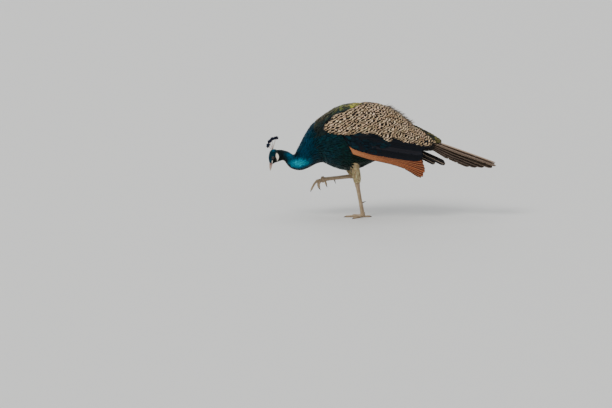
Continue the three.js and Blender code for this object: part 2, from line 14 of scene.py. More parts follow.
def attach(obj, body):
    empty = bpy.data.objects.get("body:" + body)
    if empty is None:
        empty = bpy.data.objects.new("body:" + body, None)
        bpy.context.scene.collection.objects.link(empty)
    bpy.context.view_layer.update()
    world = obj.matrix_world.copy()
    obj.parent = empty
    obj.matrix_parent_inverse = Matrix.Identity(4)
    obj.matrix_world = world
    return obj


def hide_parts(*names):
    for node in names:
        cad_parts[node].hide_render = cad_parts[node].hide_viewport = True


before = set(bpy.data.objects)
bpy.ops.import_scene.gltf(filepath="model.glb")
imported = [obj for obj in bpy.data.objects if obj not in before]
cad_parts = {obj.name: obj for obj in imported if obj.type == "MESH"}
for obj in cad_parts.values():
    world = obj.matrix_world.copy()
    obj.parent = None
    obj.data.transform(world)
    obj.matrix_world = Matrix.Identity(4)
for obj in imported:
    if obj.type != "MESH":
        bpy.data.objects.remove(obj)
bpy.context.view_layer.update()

rng = np.random.default_rng(7)
SHIFT = np.array((-84.40, 0.0, 0.0))  # from the place of the tables below to the frame's


def to_frame(points):
    return (np.asarray(points, float) + SHIFT) * 0.001


def from_frame(points):
    return np.asarray(points, float) * 1000 - SHIFT


def clamp(value):
    return min(1.0, max(0.0, value))


def ramp(value, places, values):
    """A number that follows straight lines between the values given at some places."""
    return float(np.interp(value, places, values))


def new_object(name, data):
    thing = bpy.data.objects.new(name, data)
    bpy.context.scene.collection.objects.link(thing)
    return thing


# ---- Camera, light and floor ----

AIM = (-225, 0, 55)
DISTANCE = 9000
ELEVATION = math.radians(10)
FOCAL_PIXELS = 2160
IMAGE_WIDTH = 612
SENSOR = 36
FLOOR_REACH = 40  # metres

camera = new_object("camera", bpy.data.cameras.new("camera"))
bpy.context.scene.camera = camera
away = Vector((0, -math.cos(ELEVATION), math.sin(ELEVATION)))
camera.location = Vector(to_frame(AIM)) + away * DISTANCE * 0.001
camera.rotation_euler = (-away).to_track_quat("-Z", "Y").to_euler()
camera.data.sensor_width = SENSOR
camera.data.lens = FOCAL_PIXELS * SENSOR / IMAGE_WIDTH
camera.data.clip_end = 200


def far_light(name, way, spread, strength, colour=(1, 1, 1)):
    """A light so far off that the whole floor gets the same. spread is its width in degrees."""
    light = bpy.data.lights.new(name, "SUN")
    light.angle = math.radians(spread)
    light.energy = strength
    light.color = colour
    new_object(name, light).rotation_euler = Vector(way).to_track_quat("Z", "Y").to_euler()


far_light("key_light", (-1.6, -1.6, 2.6), 28, 1.75, (1, 0.98, 0.95))
far_light("top_light", (0.35, 0.35, 3), 60, 0.85)
far_light("fill_light", (2.2, -2.6, 1.2), 50, 0.3, (0.95, 0.97, 1))
far_light("back_light", (-0.6, 2.6, 1.6), 40, 0.45)
world = bpy.data.worlds.new("studio")
bpy.context.scene.world = world
world.use_nodes = True
world.node_tree.nodes["Background"].inputs["Color"].default_value = (0.82, 0.85, 0.88, 1)
world.node_tree.nodes["Background"].inputs["Strength"].default_value = 0.45


# ---- Materials ----


def linear(colour):
    """A colour given as 0 to 255 on a screen, as the linear values that a shader takes."""
    values = np.asarray(colour, float) / 255
    return np.where(values <= 0.04045, values / 12.92, ((values + 0.055) / 1.055) ** 2.4)


class Nodes:
    """Builds a material's node tree with short calls."""

    def __init__(self, name):
        self.material = bpy.data.materials.new(name)
        self.material.use_nodes = True
        self.tree = self.material.node_tree
        self.shader = self.tree.nodes["Principled BSDF"]

    def add(self, kind, inputs=(), **settings):
        node = self.tree.nodes.new(kind)
        for key, value in settings.items():
            setattr(node, key, value)
        for key, value in dict(inputs).items():
            self.put(node.inputs[key], value)
        return node

    def put(self, socket, value):
        if isinstance(value, bpy.types.NodeSocket):
            self.tree.links.new(value, socket)
        elif socket.type == "RGBA" and not isinstance(value, (int, float)):
            socket.default_value = (*value[:3], 1)
        else:
            socket.default_value = value

    def maths(self, operation, a, b=0.5, c=0.5):
        return self.add("ShaderNodeMath", {0: a, 1: b, 2: c}, operation=operation).outputs[0]

    def times(self, a, b):
        return self.maths("MULTIPLY", a, b)

    def mix(self, share, a, b, blend="MIX"):
        node = self.add("ShaderNodeMix", data_type="RGBA", blend_type=blend)
        for place, value in ((0, share), (6, a), (7, b)):
            self.put(node.inputs[place], value)
        return node.outputs[2]

    def attribute(self, name, output="Color"):
        return self.add("ShaderNodeAttribute", attribute_name=name).outputs[output]

    def place(self):
        return self.add("ShaderNodeTexCoord").outputs["Object"]

    def noise(self, scale, detail=3, vector=None):
        inputs = {"Scale": scale, "Detail": detail, "Roughness": 0.55, "Vector": vector or self.place()}
        return self.add("ShaderNodeTexNoise", inputs).outputs["Fac"]

    def steps(self, value, low, high):
        node = self.add("ShaderNodeMapRange", {0: value, 1: low, 2: high}, interpolation_type="SMOOTHSTEP")
        return node.outputs[0]

    def bump(self, height, strength, distance):
        node = self.add("ShaderNodeBump", {"Height": height, "Strength": strength, "Distance": distance})
        self.put(self.shader.inputs["Normal"], node.outputs[0])

    def finish(self, **values):
        for key, value in values.items():
            self.put(self.shader.inputs[key.replace("_", " ")], value)
        return self.material


BAR_SPACING = 9.6
# The bars' lean: millimetres of their phase for each metre back and for each metre down.
BAR_BACK, BAR_DOWN = 540, 840
BAR_WOBBLE = 14.0
BAR_CHEVRON = 0.6  # how far a bar is bent back on each side of a feather's shaft


def bar_share(n, span, own):
    """How dark the wavy bars make a place. They run on from feather to feather."""
    place = n.place()
    back, _, up = n.add("ShaderNodeSeparateXYZ", {0: place}).outputs
    ahead = n.maths("SUBTRACT", n.times(back, BAR_BACK), n.times(up, BAR_DOWN))
    wobble = n.times(n.maths("SUBTRACT", n.noise(46, 1, place), 0.5), BAR_WOBBLE)
    bent = n.maths("MULTIPLY_ADD", own, BAR_SPACING * 0.2, n.times(span, BAR_CHEVRON))
    phase = n.maths("ADD", n.maths("ADD", ahead, wobble), bent)
    wave = n.maths("SINE", n.times(phase, math.tau / BAR_SPACING))
    broken = n.times(n.maths("SUBTRACT", n.noise(260, 2, place), 0.5), 0.4)
    return n.steps(n.maths("ADD", wave, broken), -0.4, -0.05)


def feather_material(name, roughness, metallic=0.0, barred=False, shaft=0.3, barb=0.14, sheen=0.0,
                     specular=0.3, pitch=0.5):
    """Feathers: colour from the tint and rim attributes, with barbs, a shaft and, on some, wavy bars.
    The attribute vane holds the distances in millimetres along the feather and out from its shaft, and
    a number of the feather's own."""
    n = Nodes(name)
    along, out, own = n.add("ShaderNodeSeparateXYZ", {0: n.attribute("vane", "Vector")}).outputs
    span = n.maths("ABSOLUTE", out)
    colour = n.mix(n.attribute("edge", "Fac"), n.attribute("tint"), n.attribute("rim"))
    lie = n.maths("SUBTRACT", along, n.times(span, 1.3))
    barbs = n.maths("SINE", n.times(lie, math.tau / pitch))
    wander = n.noise(160)
    if barred:
        colour = n.mix(bar_share(n, span, own), colour, n.attribute("bar"))
    uneven = n.maths("MULTIPLY_ADD", wander, 0.25 if barred else 0.55, 0.88 if barred else 0.72)
    shade = n.times(n.maths("MULTIPLY_ADD", barbs, barb, 1 - barb), uneven)
    grey = n.add("ShaderNodeCombineXYZ", {0: shade, 1: shade, 2: shade}).outputs[0]
    colour = n.mix(1.0, colour, grey, "MULTIPLY")
    if shaft:
        colour = n.mix(n.times(n.steps(span, 0.75, 0.25), shaft), colour, n.attribute("quill"))
    n.bump(barbs, 0.3, 0.0002)
    return n.finish(
        Base_Color=colour,
        Roughness=n.maths("MULTIPLY_ADD", wander, 0.2, roughness - 0.1),
        Metallic=metallic,
        Sheen_Weight=sheen,
        Specular_IOR_Level=specular,
    )


# ---- Meshes ----

ATTRIBUTES = {1: ("FLOAT", "value"), 3: ("FLOAT_VECTOR", "vector"), 4: ("FLOAT_COLOR", "color")}


def read(items, key, size=3, kind=float):
    """What a mesh keeps for each of its points, corners or faces, in rows."""
    values = np.empty(len(items) * size, kind)
    items.foreach_get(key, values)
    return values.reshape(-1, size)


def store(mesh, key, values):
    """An attribute with one value, vector or colour for each point."""
    values = np.asarray(values, np.float32).reshape(len(mesh.vertices), -1)
    kind, field = ATTRIBUTES[values.shape[1]]
    mesh.attributes.new(key, kind, "POINT").data.foreach_set(field, values.ravel())


def opaque(colours):
    return np.concatenate((colours, np.ones((len(colours), 1))), axis=1)


def unwrap(mesh, places):
    """Sets the map OFBake from a place for each point."""
    corners = read(mesh.loops, "vertex_index", 1, np.int32)[:, 0]
    places = np.asarray(places, np.float32)[corners]
    mesh.uv_layers.new(name="OFBake").data.foreach_set("uv", places.ravel())


def make_smooth(mesh):
    mesh.polygons.foreach_set("use_smooth", np.ones(len(mesh.polygons), bool))


def finish_piece(name, mesh, material, nodes=()):
    mesh.materials.append(material)
    thing = new_object(name, mesh)
    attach(thing, "root")
    if nodes:
        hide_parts(*nodes)


def make_piece(name, points, faces, material, attributes, places=None, nodes=()):
    """A mesh piece from points in the tables' frame and rows of four corners, with its attributes by name."""
    mesh = bpy.data.meshes.new(name)
    mesh.vertices.add(len(points))
    mesh.vertices.foreach_set("co", to_frame(points).astype(np.float32).ravel())
    mesh.loops.add(faces.size)
    mesh.loops.foreach_set("vertex_index", faces.astype(np.int32).ravel())
    mesh.polygons.add(len(faces))
    mesh.polygons.foreach_set("loop_start", np.arange(0, faces.size, 4, dtype=np.int32))
    make_smooth(mesh)
    mesh.update(calc_edges=True)
    for key, values in attributes.items():
        store(mesh, key, opaque(values) if key in ("tint", "rim", "bar", "quill") else values)
    if places is not None:
        unwrap(mesh, places)
    mesh.validate()
    finish_piece(name, mesh, material, nodes)


def triangles_of(mesh):
    mesh.calc_loop_triangles()
    return read(mesh.loop_triangles, "vertices", 3, np.int32)


def node_mesh(names):
    """The points, in the tables' frame, and triangles of some CAD nodes, and each triangle's node."""
    points, triangles, owner, count = [], [], [], 0
    for name in names:
        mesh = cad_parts[name].data
        points.append(from_frame(read(mesh.vertices, "co")))
        triangles.append(triangles_of(mesh) + count)
        owner += [name] * len(triangles[-1])
        count += len(points[-1])
    return np.concatenate(points), np.concatenate(triangles), owner


def remeshed(names, voxel, rounds):
    """A smooth closed mesh round some CAD nodes, its points in the tables' frame and its normals."""
    points, triangles, _ = node_mesh(names)
    rough = bpy.data.meshes.new("rough")
    rough.from_pydata(to_frame(points).tolist(), [], triangles.tolist())
    thing = new_object("rough", rough)
    change = thing.modifiers.new("remesh", "REMESH")
    change.mode = "VOXEL"
    change.voxel_size = voxel * 0.001
    smooth = thing.modifiers.new("smooth", "SMOOTH")
    smooth.iterations = rounds
    smooth.factor = 0.5
    bpy.context.view_layer.update()
    mesh = bpy.data.meshes.new_from_object(thing.evaluated_get(bpy.context.evaluated_depsgraph_get()))
    bpy.data.objects.remove(thing)
    bpy.data.meshes.remove(rough)
    return mesh, from_frame(read(mesh.vertices, "co")), read(mesh.vertices, "normal")


def tree_of(points, triangles):
    return BVHTree.FromPolygons(points.tolist(), triangles.tolist(), all_triangles=True)


# ---- The body's tables ----

# Sections of the neck and body: a point on the back line and one on the belly line, as (x, z), and half
# the width.
BODY = np.array([
    (-352, 283, -346, 228, 14), (-333, 285, -330, 235, 17), (-312, 282, -314, 239, 18.5),
    (-291, 275, -301, 222, 20.5), (-279, 266, -287, 207, 23), (-270, 264, -262, 198, 26.5),
    (-263, 277, -236, 198, 33), (-250, 303, -208, 209, 42), (-231, 340, -179, 224, 54),
    (-202, 387, -150, 231, 70), (-156, 426, -116, 214, 82), (-97, 464, -74, 200, 89),
    (-35, 480, -34, 197, 92), (28, 478, 18, 212, 92), (92, 458, 78, 244, 83),
    (155, 422, 138, 266, 68), (214, 378, 198, 277, 52), (268, 342, 254, 279, 39), (312, 322, 306, 279, 30),
], float)
# The folded wing along x: the heights of its top, widest line and low edge, and its half width.
WING = np.array([
    (-175, 392, 340, 190, 62), (-120, 448, 340, 175, 93), (-60, 478, 336, 160, 106), (5, 485, 330, 145, 110),
    (70, 480, 322, 130, 108), (130, 461, 312, 115, 101), (190, 418, 300, 100, 89), (250, 370, 286, 85, 73),
    (320, 322, 270, 70, 52),
], float)
HEAD_AT = np.array((-360, 0, 251))
HEAD_TURN = np.array(Matrix.Rotation(math.radians(-78), 3, "Y"))
EYE_RADIUS, EYE_OUT, EYE_UP = 5.4, 12.4, 1.5
HOCK = {"l": (-9, -30, 146), "r": (-23, 46, 166)}
ANKLE = {"l": (15, -4, 13), "r": (-151, 48, 151)}
THIGH = {
    "l": [(-46, -50, 300), (-30, -48, 246), (-17, -43, 206), (-11, -37, 176), HOCK["l"]],
    "r": [(-64, 50, 300), (-58, 54, 250), (-46, 53, 212), (-34, 50, 186), HOCK["r"]],
}


def in_head(points):
    """Points in the head's own frame, where x runs back from the eye, z up and y to the right."""
    return (np.asarray(points, float) - HEAD_AT) @ HEAD_TURN


def out_of_head(points):
    return np.asarray(points, float) @ HEAD_TURN.T + HEAD_AT


STATIONS = np.arange(len(BODY))
FLOW_BACK = np.gradient(BODY[:, 0:2], axis=0)
FLOW_BELLY = np.gradient(BODY[:, 2:4], axis=0)


def body_place(x, z):
    """Where a side-view point is on the body: its station, 0 at the back line to 1 at the belly line, and how
    much each station counts there."""
    ends = BODY[:, 2:4] - BODY[:, 0:2]
    point = np.array((x, z))
    share = np.clip(((point - BODY[:, 0:2]) * ends).sum(1) / (ends**2).sum(1), 0, 1)
    nearest = BODY[:, 0:2] + ends * share[:, None]
    weight = 1 / (((point - nearest) ** 2).sum(1) + 4) ** 2
    weight /= weight.sum()
    return float((STATIONS * weight).sum()), float((share * weight).sum()), weight


def body_flow(x, z):
    """The way that feathers lie on the body at a side-view point, from head to tail."""
    _, share, weight = body_place(x, z)
    way = ((FLOW_BACK * (1 - share) + FLOW_BELLY * share) * weight[:, None]).sum(0)
    return Vector((way[0], 0, way[1])).normalized()


def wing_flow(x, z):
    """The way that feathers lie on the folded wing."""
    top, low = (np.interp(x, WING[:, 0], WING[:, i]) for i in (1, 3))
    fall = np.interp(x, (-160, -60, 60, 150, 250, 320), (0.25, 0.1, -0.12, -0.4, -0.62, -0.55))
    share = np.clip((z - low) / (top - low), 0, 1)
    slope = -0.2 + (fall + 0.2) * max(0.0, share * 1.6 - 0.6)
    return Vector((1, 0, slope)).normalized()


def leg_flow(point, side):
    route = [Vector(p) for p in THIGH[side]]
    near = min(range(len(route) - 1), key=lambda i: (route[i].lerp(route[i + 1], 0.5) - point).length)
    return (route[near + 1] - route[near]).normalized() + Vector((0.22, 0, 0))


# ---- Colours, as on a screen, 0 to 255 ----

CROWN = (6, 74, 96)
CROWN_FRONT = (3, 40, 52)
# painted highlight on the back of the crown
CROWN_HIGHLIGHT = (0, 118, 156)
NAPE = (8, 28, 30)
FACE_WHITE = (252, 238, 220)
LORE = (10, 10, 14)
THROAT = (10, 24, 24)
# painted shade in the neck's fold
NECK_FOLD_SHADE = (2, 34, 50)
NECK_TOP = (8, 36, 42)
# painted shade along the underside of the neck
NECK_UNDER_SHADE = (2, 18, 22)
NECK_BLUE = (0, 88, 116)
# painted highlight along the back of the neck
NECK_BACK_HIGHLIGHT = (0, 130, 172)
# painted highlight at the lower bend of the neck
NECK_BEND_HIGHLIGHT = (0, 216, 255)
CHEST_EDGE = (0, 92, 124)
BREAST_BLUE = (0, 66, 90)
BREAST_TEAL = (3, 52, 60)
BELLY_GREEN = (3, 34, 26)
VENT_BROWN = (30, 25, 20)
MANTLE_BROWN = (108, 98, 64)
MANTLE_OLIVE = (116, 124, 56)
MANTLE_GOLD = (196, 178, 70)
MANTLE_REAR = (104, 116, 46)
MANTLE_TEAL = (6, 44, 50)
MANTLE_EDGE = (20, 26, 18)
BACK_GREEN = (72, 92, 52)
BAR_LIGHT = (240, 212, 176)
BAR_WARM = (186, 148, 108)
BAR_DARK = (20, 14, 11)
BAR_SKIN = (92, 70, 56)
WING_BLACK = (9, 17, 27)
WING_TEAL = (3, 46, 58)
CHESTNUT = (196, 92, 38)
CHESTNUT_DARK = (132, 56, 24)
# painted highlight on the front part of the primaries
CHESTNUT_HIGHLIGHT = (222, 138, 84)
BRONZE = (84, 74, 46)
BRONZE_LIGHT = (120, 108, 56)
BRONZE_DARK = (44, 46, 32)
THIGH_BUFF = (250, 228, 176)
THIGH_DARK = (212, 184, 132)
DOWN_GREY = (192, 178, 162)
DOWN_PALE = (224, 212, 196)
TAIL_RIM = (188, 160, 136)
BILL_ROSE = (186, 146, 132)
BILL_PALE = (206, 186, 168)
BILL_FACE = (150, 118, 110)
# painted shade in the hollow of the nostril
NOSTRIL_SHADE = (40, 26, 24)
LEG_PALE = (200, 176, 140)
LEG_TAN = (164, 142, 108)
LEG_CREASE = (96, 72, 60)
CLAW_BROWN = (92, 76, 66)
CLAW_DARK = (58, 48, 44)
TAIL_TINTS = (
    (172, 142, 120), (96, 78, 66), (54, 45, 38), (48, 40, 34), (46, 38, 33), (50, 42, 36), (34, 30, 28),
    (32, 28, 27),
)


def blend_colours(a, b, share):
    share = clamp(share)
    return tuple(p + (q - p) * share for p, q in zip(a, b))


def layered(colour, *layers):
    """A colour with others laid over it in turn, each with its share."""
    for over, share in layers:
        colour = blend_colours(colour, over, share)
    return colour


def darker(colour, share):
    return tuple(v * (1 - share) for v in colour)


def blob(point, centre, sizes):
    """1 at a centre, falling off to 0 with distance."""
    return math.exp(-sum(((p - c) / s) ** 2 for p, c, s in zip(point, centre, sizes)))


def wander(point, size):
    return noise.noise(Vector((point[0] / size, point[1] / size, point[2] / size)))


def face_colours(x, y, z):
    """The head's markings, in its own frame: crown, nape, throat and dark lore, with a painted highlight at
    the back of the crown.
    """
    return layered(
        CROWN,
        (CROWN_FRONT, (x - 8) / 26),
        (THROAT, (-z - 4) / 9),
        (NAPE, (x - 14) / 12),
        # painted highlight on the back of the crown
        (CROWN_HIGHLIGHT, blob((x, z), (30, 8), (9, 12))),
        (LORE, blob((x, z), (-10, -5), (15, 5.5)) * 1.6 * min(1.0, abs(y) / 8)),
    )


# The bare crescent behind and under the eye, in the head's frame: x, its middle and its half width.
CRESCENT = np.array([
    (-15, -18.6, 0), (-12, -18.4, 1.3), (-8, -18.2, 1.8), (-3, -18, 2.8), (0, -17.2, 4), (4, -15.8, 6.2),
    (9, -14.4, 7.4), (14, -13, 6.8), (18, -11.6, 5.2), (22, -9.8, 2.2), (24, -9, 0),
])


def white_patch(x, z):
    """How far a point of the head is inside the white crescent under the eye or the streak before it."""
    middle, half = (ramp(x, CRESCENT[:, 0], CRESCENT[:, i]) for i in (1, 2))
    crescent = 1 - abs(z - middle) / max(0.2, half)
    along = abs(x + 16.4) / 6.5
    streak = 1 - abs(z - 1.6 - (x + 16.4) * 0.1) / (2.3 * math.sqrt(1 - along**2)) if along < 0.98 else -1
    return max(crescent, streak)


def bare_patch(point):
    """white_patch for a place on either side of the head or the nape. It is under 0 outside the patch."""
    x, y, z = in_head(point)
    return white_patch(x, z) if 4 < abs(y) < 25 and x < 40 else -1


def body_colours(point):
    """The plumage's colour on the neck and body, with painted highlights along the back of the neck and at its
    lower bend, and painted shade in its fold and along its underside.
    """
    x, _, z = point
    station, share, _ = body_place(x, z)
    if station < 5.2:
        # the underside of the upper neck is darkened toward the throat's colour as painted shade
        under = (share - 0.45) * 3 * max(0.0, 1.6 - station / 2.2)
        colour = layered(NECK_TOP, (NECK_BLUE, (station - 1.2) / 2.2), (THROAT, under))
    elif station < 9:
        colour = blend_colours(NECK_BLUE, BREAST_BLUE, (station - 5.2) / 2.5)
    else:
        colour = BREAST_BLUE
    colour = layered(
        colour,
        (BREAST_TEAL, (station - 7.4) / 2.0 + (share - 0.35) * 0.8 * (station > 7)),
        (BELLY_GREEN, (station - 10.2) / 2.2 + (share - 0.6) * 1.2 * (station > 8.5)),
        # painted highlight at the lower bend of the neck
        (NECK_BEND_HIGHLIGHT, blob((x, z), (-264, 231), (36, 15)) * 1.3),
        (CHEST_EDGE, blob((x, z), (-236, 322), (30, 60)) * (1 - share) * 0.9),
        # painted highlight along the back of the neck
        (NECK_BACK_HIGHLIGHT, blob((x, z), (-294, 266), (18, 11))),
        # painted shade in the neck's fold
        (NECK_FOLD_SHADE, blob((x, z), (-270, 262), (16, 9)) * 0.9),
    )
    # painted shade along the underside of the neck
    if 1 < station < 9:
        colour = blend_colours(colour, NECK_UNDER_SHADE, (share - 0.8) / 0.16 * min(1.0, (9 - station) / 2))
    return colour


def mantle_colours(point):
    x, y, _ = point
    return layered(
        MANTLE_BROWN,
        (MANTLE_OLIVE, (x + 150) / 60),
        (MANTLE_GOLD, (x + 85) / 50),
        (MANTLE_REAR, (x - 40) / 50),
        (MANTLE_TEAL, (abs(y) - 36 - 6 * wander(point, 20)) / 12),
    )


# ---- The skin ----

TRUNK = ["head", "neck_upper", "neck_middle", "neck_lower", "breast", "belly", "rump", "tail_coverts",
         "thigh_l", "thigh_r"]
WINGS = [f"wing_{side}_{part}" for side in "lr" for part in ("scapulars", "tertials", "secondaries")]
PRIMARIES = ["wing_l_primaries", "wing_r_primaries"]

cad_points, cad_triangles, cad_owner = node_mesh(TRUNK + WINGS + PRIMARIES)
cad_tree = tree_of(cad_points, cad_triangles)
outer_mesh, outer_points, _ = remeshed(TRUNK + WINGS, 3.0, 6)
outer_triangles = triangles_of(outer_mesh)
outer_tree = tree_of(outer_points, outer_triangles)


def owner_at(point):
    """The CAD node that a place on the outer surface belongs to."""
    return cad_owner[cad_tree.find_nearest(point)[2]]


def skin_colour(point, normal, owner):
    """The skin's colour: that of the coat over it, a little darker."""
    patch = bare_patch(point)
    if owner == "head" or patch > 0:
        return blend_colours(darker(face_colours(*in_head(point)), 0.45), FACE_WHITE, patch * 4 + 0.5)
    if owner.startswith("thigh"):
        return THIGH_DARK
    if owner.startswith("wing"):
        return BAR_SKIN if owner.endswith(("scapulars", "tertials")) else WING_BLACK
    if owner in ("rump", "tail_coverts"):
        return BRONZE if normal[2] > 0 else VENT_BROWN
    return blend_colours(body_colours(point), (0, 0, 0), 0.35)


def flat_place(point, owner):
    """A place on the unwrap of the body's own shape, which the skin and every tuft share."""
    x, y, z = point
    if owner.startswith("thigh"):
        top, bottom = Vector(THIGH[owner[-1]][0]), Vector(THIGH[owner[-1]][-1])
        down = (bottom - top).normalized()
        along = (Vector(point) - top).dot(down) / (bottom - top).length
        centre = top + (bottom - top) * along
        round_leg = math.atan2(y - centre.y, x - centre.x) / math.tau
        aside = 0.16 if owner[-1] == "r" else 0
        return (0.06 + 0.1 * (round_leg + 0.5) + aside, 0.04 + 0.2 * min(1.1, max(0.0, along)))
    if owner.startswith("wing"):
        low = 0.04 if y < 0 else 0.3
        return (0.42 + 0.52 * (x + 200) / 560, low + 0.22 * (z - 160) / 340)
    if owner == "head":
        spot = in_head(point)
        station, up = (spot[0] - 36) / 28, spot[2]
    else:
        station = body_place(x, z)[0]
        back_x, back_z, belly_x, belly_z = (np.interp(station, STATIONS, BODY[:, i]) for i in range(4))
        ends = Vector((back_x - belly_x, back_z - belly_z))
        middle = Vector(((back_x + belly_x) / 2, (back_z + belly_z) / 2))
        up = (Vector((x, z)) - middle).dot(ends.normalized())
    return (0.04 + 0.92 * (station + 2.6) / 21.5, 0.78 + 0.36 * math.atan2(y, up) / math.tau)


COAT_DEPTHS = {"head": 0.5, "neck_upper": 1.5, "neck_middle": 2.5, "neck_lower": 3.2, "tail_coverts": 2.5}


def coat_depth(point, owner):
    """How far the skin lies inside the coat's outer surface."""
    if owner.startswith("thigh"):
        return 2.0 + 1.2 * clamp((point[2] - 180) / 40)
    return COAT_DEPTHS.get(owner, 4.0)


def eye_centre(sign):
    """An eye's centre in the head's frame. sign is -1 for the left one and 1 for the right."""
    return np.array((0, EYE_OUT * sign, EYE_UP))


def face_depth(point):
    """What the socket, the lids' folds and the brow add to the skin's depth."""
    x, y, z = in_head(point)
    if abs(y) <= 5:
        return 0
    from_eye = math.hypot(x / 1.12, (z - EYE_UP) / 0.94)
    socket = 3.4 * max(0.0, 1 - (from_eye / 4.3) ** 4)
    fold = 1.15 * math.exp(-(((from_eye - 5.5) / 0.9) ** 2))
    return socket - fold - 0.8 * blob((x, z), (0, 7.4), (8, 1.6)) + 0.5 * blob((x, z), (-13, -3), (7, 3))


def on_face(spot):
    return -30 < spot[0] < 40 and abs(spot[2]) < 30 and abs(spot[1]) < 30


def by_eye(spot):
    return spot[0] ** 2 + (spot[2] - EYE_UP) ** 2 < 12**2 and abs(spot[1]) < 30


def build_skin():
    """The body's skin: one mesh with finer faces on the head, sockets and lids round the eyes."""
    grid = bmesh.new()
    grid.from_mesh(outer_mesh)
    for inside in (on_face, by_eye):
        near = [face for face in grid.faces if inside(in_head(from_frame(face.calc_center_median())))]
        edges = {edge for face in near for edge in face.edges}
        bmesh.ops.subdivide_edges(grid, edges=list(edges), cuts=1, use_grid_fill=True, smooth=0.6)
    bmesh.ops.triangulate(grid, faces=[face for face in grid.faces if len(face.verts) > 4])
    grid.normal_update()
    tints, places = [], []
    for vert in grid.verts:
        point = from_frame(vert.co)
        owner = owner_at(point)
        depth = coat_depth(point, owner)
        if owner == "head" or (owner == "neck_upper" and in_head(point)[0] < 40):
            depth += face_depth(point)
        tints.append(linear(skin_colour(point, vert.normal, owner)))
        places.append(flat_place(point, owner))
        vert.co -= vert.normal * depth * 0.001
    mesh = bpy.data.meshes.new("skin")
    grid.to_mesh(mesh)
    grid.free()
    store(mesh, "tint", opaque(tints))
    unwrap(mesh, places)
    make_smooth(mesh)
    n = Nodes("skin")
    folds = n.noise(220)
    colour = n.mix(n.times(folds, 0.2), n.attribute("tint"), (0.1, 0.07, 0.06))
    n.bump(n.maths("ADD", n.noise(900, 2), folds), 0.25, 0.0004)
    material = n.finish(Base_Color=colour, Roughness=0.62)
    finish_piece("skin", mesh, material, [*TRUNK, *WINGS])


build_skin()


# ---- Small feathers ----

# Outlines of feathers: how wide they are at some places along them, as shares of the width and length.
ROUND = ((0, 0.35), (0.22, 0.8), (0.5, 1.0), (0.75, 0.94), (0.92, 0.62), (1, 0.2))
POINTED = ((0, 0.35), (0.25, 0.85), (0.5, 1.0), (0.72, 0.78), (0.9, 0.4), (1, 0.08))
SMALL = ((0, 0.5), (0.35, 1.0), (0.75, 0.75), (1, 0.12))
LOOSE = ((0, 0.5), (0.3, 1.0), (0.65, 0.8), (1, 0.1))
# The places of a feather's points across it, from -1 to 1. The last one is on its underside.
WIDE_RING = (-1, -0.5, 0, 0.5, 1, 0)
NARROW_RING = (-1, 0, 1, 0)
TRIES = 9  # places tried for each feather's root


def tube_faces(rows, ring):
    """The faces between rings of points, in rows of four corners."""
    across = np.arange(ring)
    ahead = (across + 1) % ring
    first = np.stack((across, ahead, ahead + ring, across + ring), 1)
    return np.concatenate([first + r * ring for r in range(rows - 1)])


def end_faces(rows, ring):
    """The faces across the first and the last ring of points."""
    faces = []
    for base, turn in ((0, -1), ((rows - 1) * ring, 1)):
        for low in range((ring - 2) // 2):
            high = ring - 1 - low
            faces.append([base + low, base + low + 1, base + high - 1, base + high][::turn])
    return np.array(faces)


class Coat:
    """Feathers gathered for one mesh, with what their material reads."""

    def __init__(self, name, slot, material):
        self.name, self.slot, self.material = name, slot, material
        self.points, self.faces, self.places, self.count = [], [], [], 0
        self.values = {key: [] for key in ("vane", "edge", "tint", "rim", "bar", "quill")}

    def add(self, shape, vane, edge, colours, places):
        """One feather: shape is its points as rows, rings and 3."""
        rows, ring = shape.shape[:2]
        self.faces += [tube_faces(rows, ring) + self.count, end_faces(rows, ring) + self.count]
        self.points.append(shape.reshape(-1, 3))
        self.values["vane"].append(vane.reshape(-1, 3))
        self.values["edge"].append(edge.reshape(-1))
        for key, colour in colours.items():
            self.values[key].append(np.broadcast_to(colour, (rows, ring, 3)).reshape(-1, 3))
        self.places.append(places.reshape(-1, 2))
        self.count += rows * ring

    def finish(self, nodes=()):
        points, faces, places = (np.concatenate(part) for part in (self.points, self.faces, self.places))
        attributes = {key: np.concatenate(values) for key, values in self.values.items()}
        make_piece(self.name, points, faces, self.material, attributes, places, nodes)


def paint(base, amount):
    """A colour varied in brightness and a little in hue from feather to feather."""
    shade = 1 + amount * rng.uniform(-1, 1)
    hue = 1 + 0.3 * min(0.2, amount) * rng.uniform(-1, 1, 3)
    return linear(np.clip(np.array(base) * shade * hue, 0, 255))


def colours_of(tint, rim, bar=(0, 0, 0), quill=None, vary=0.12):
    return {
        "tint": paint(tint, vary),
        "rim": paint(rim, vary),
        "bar": linear(bar),
        "quill": linear(quill or tint),
    }


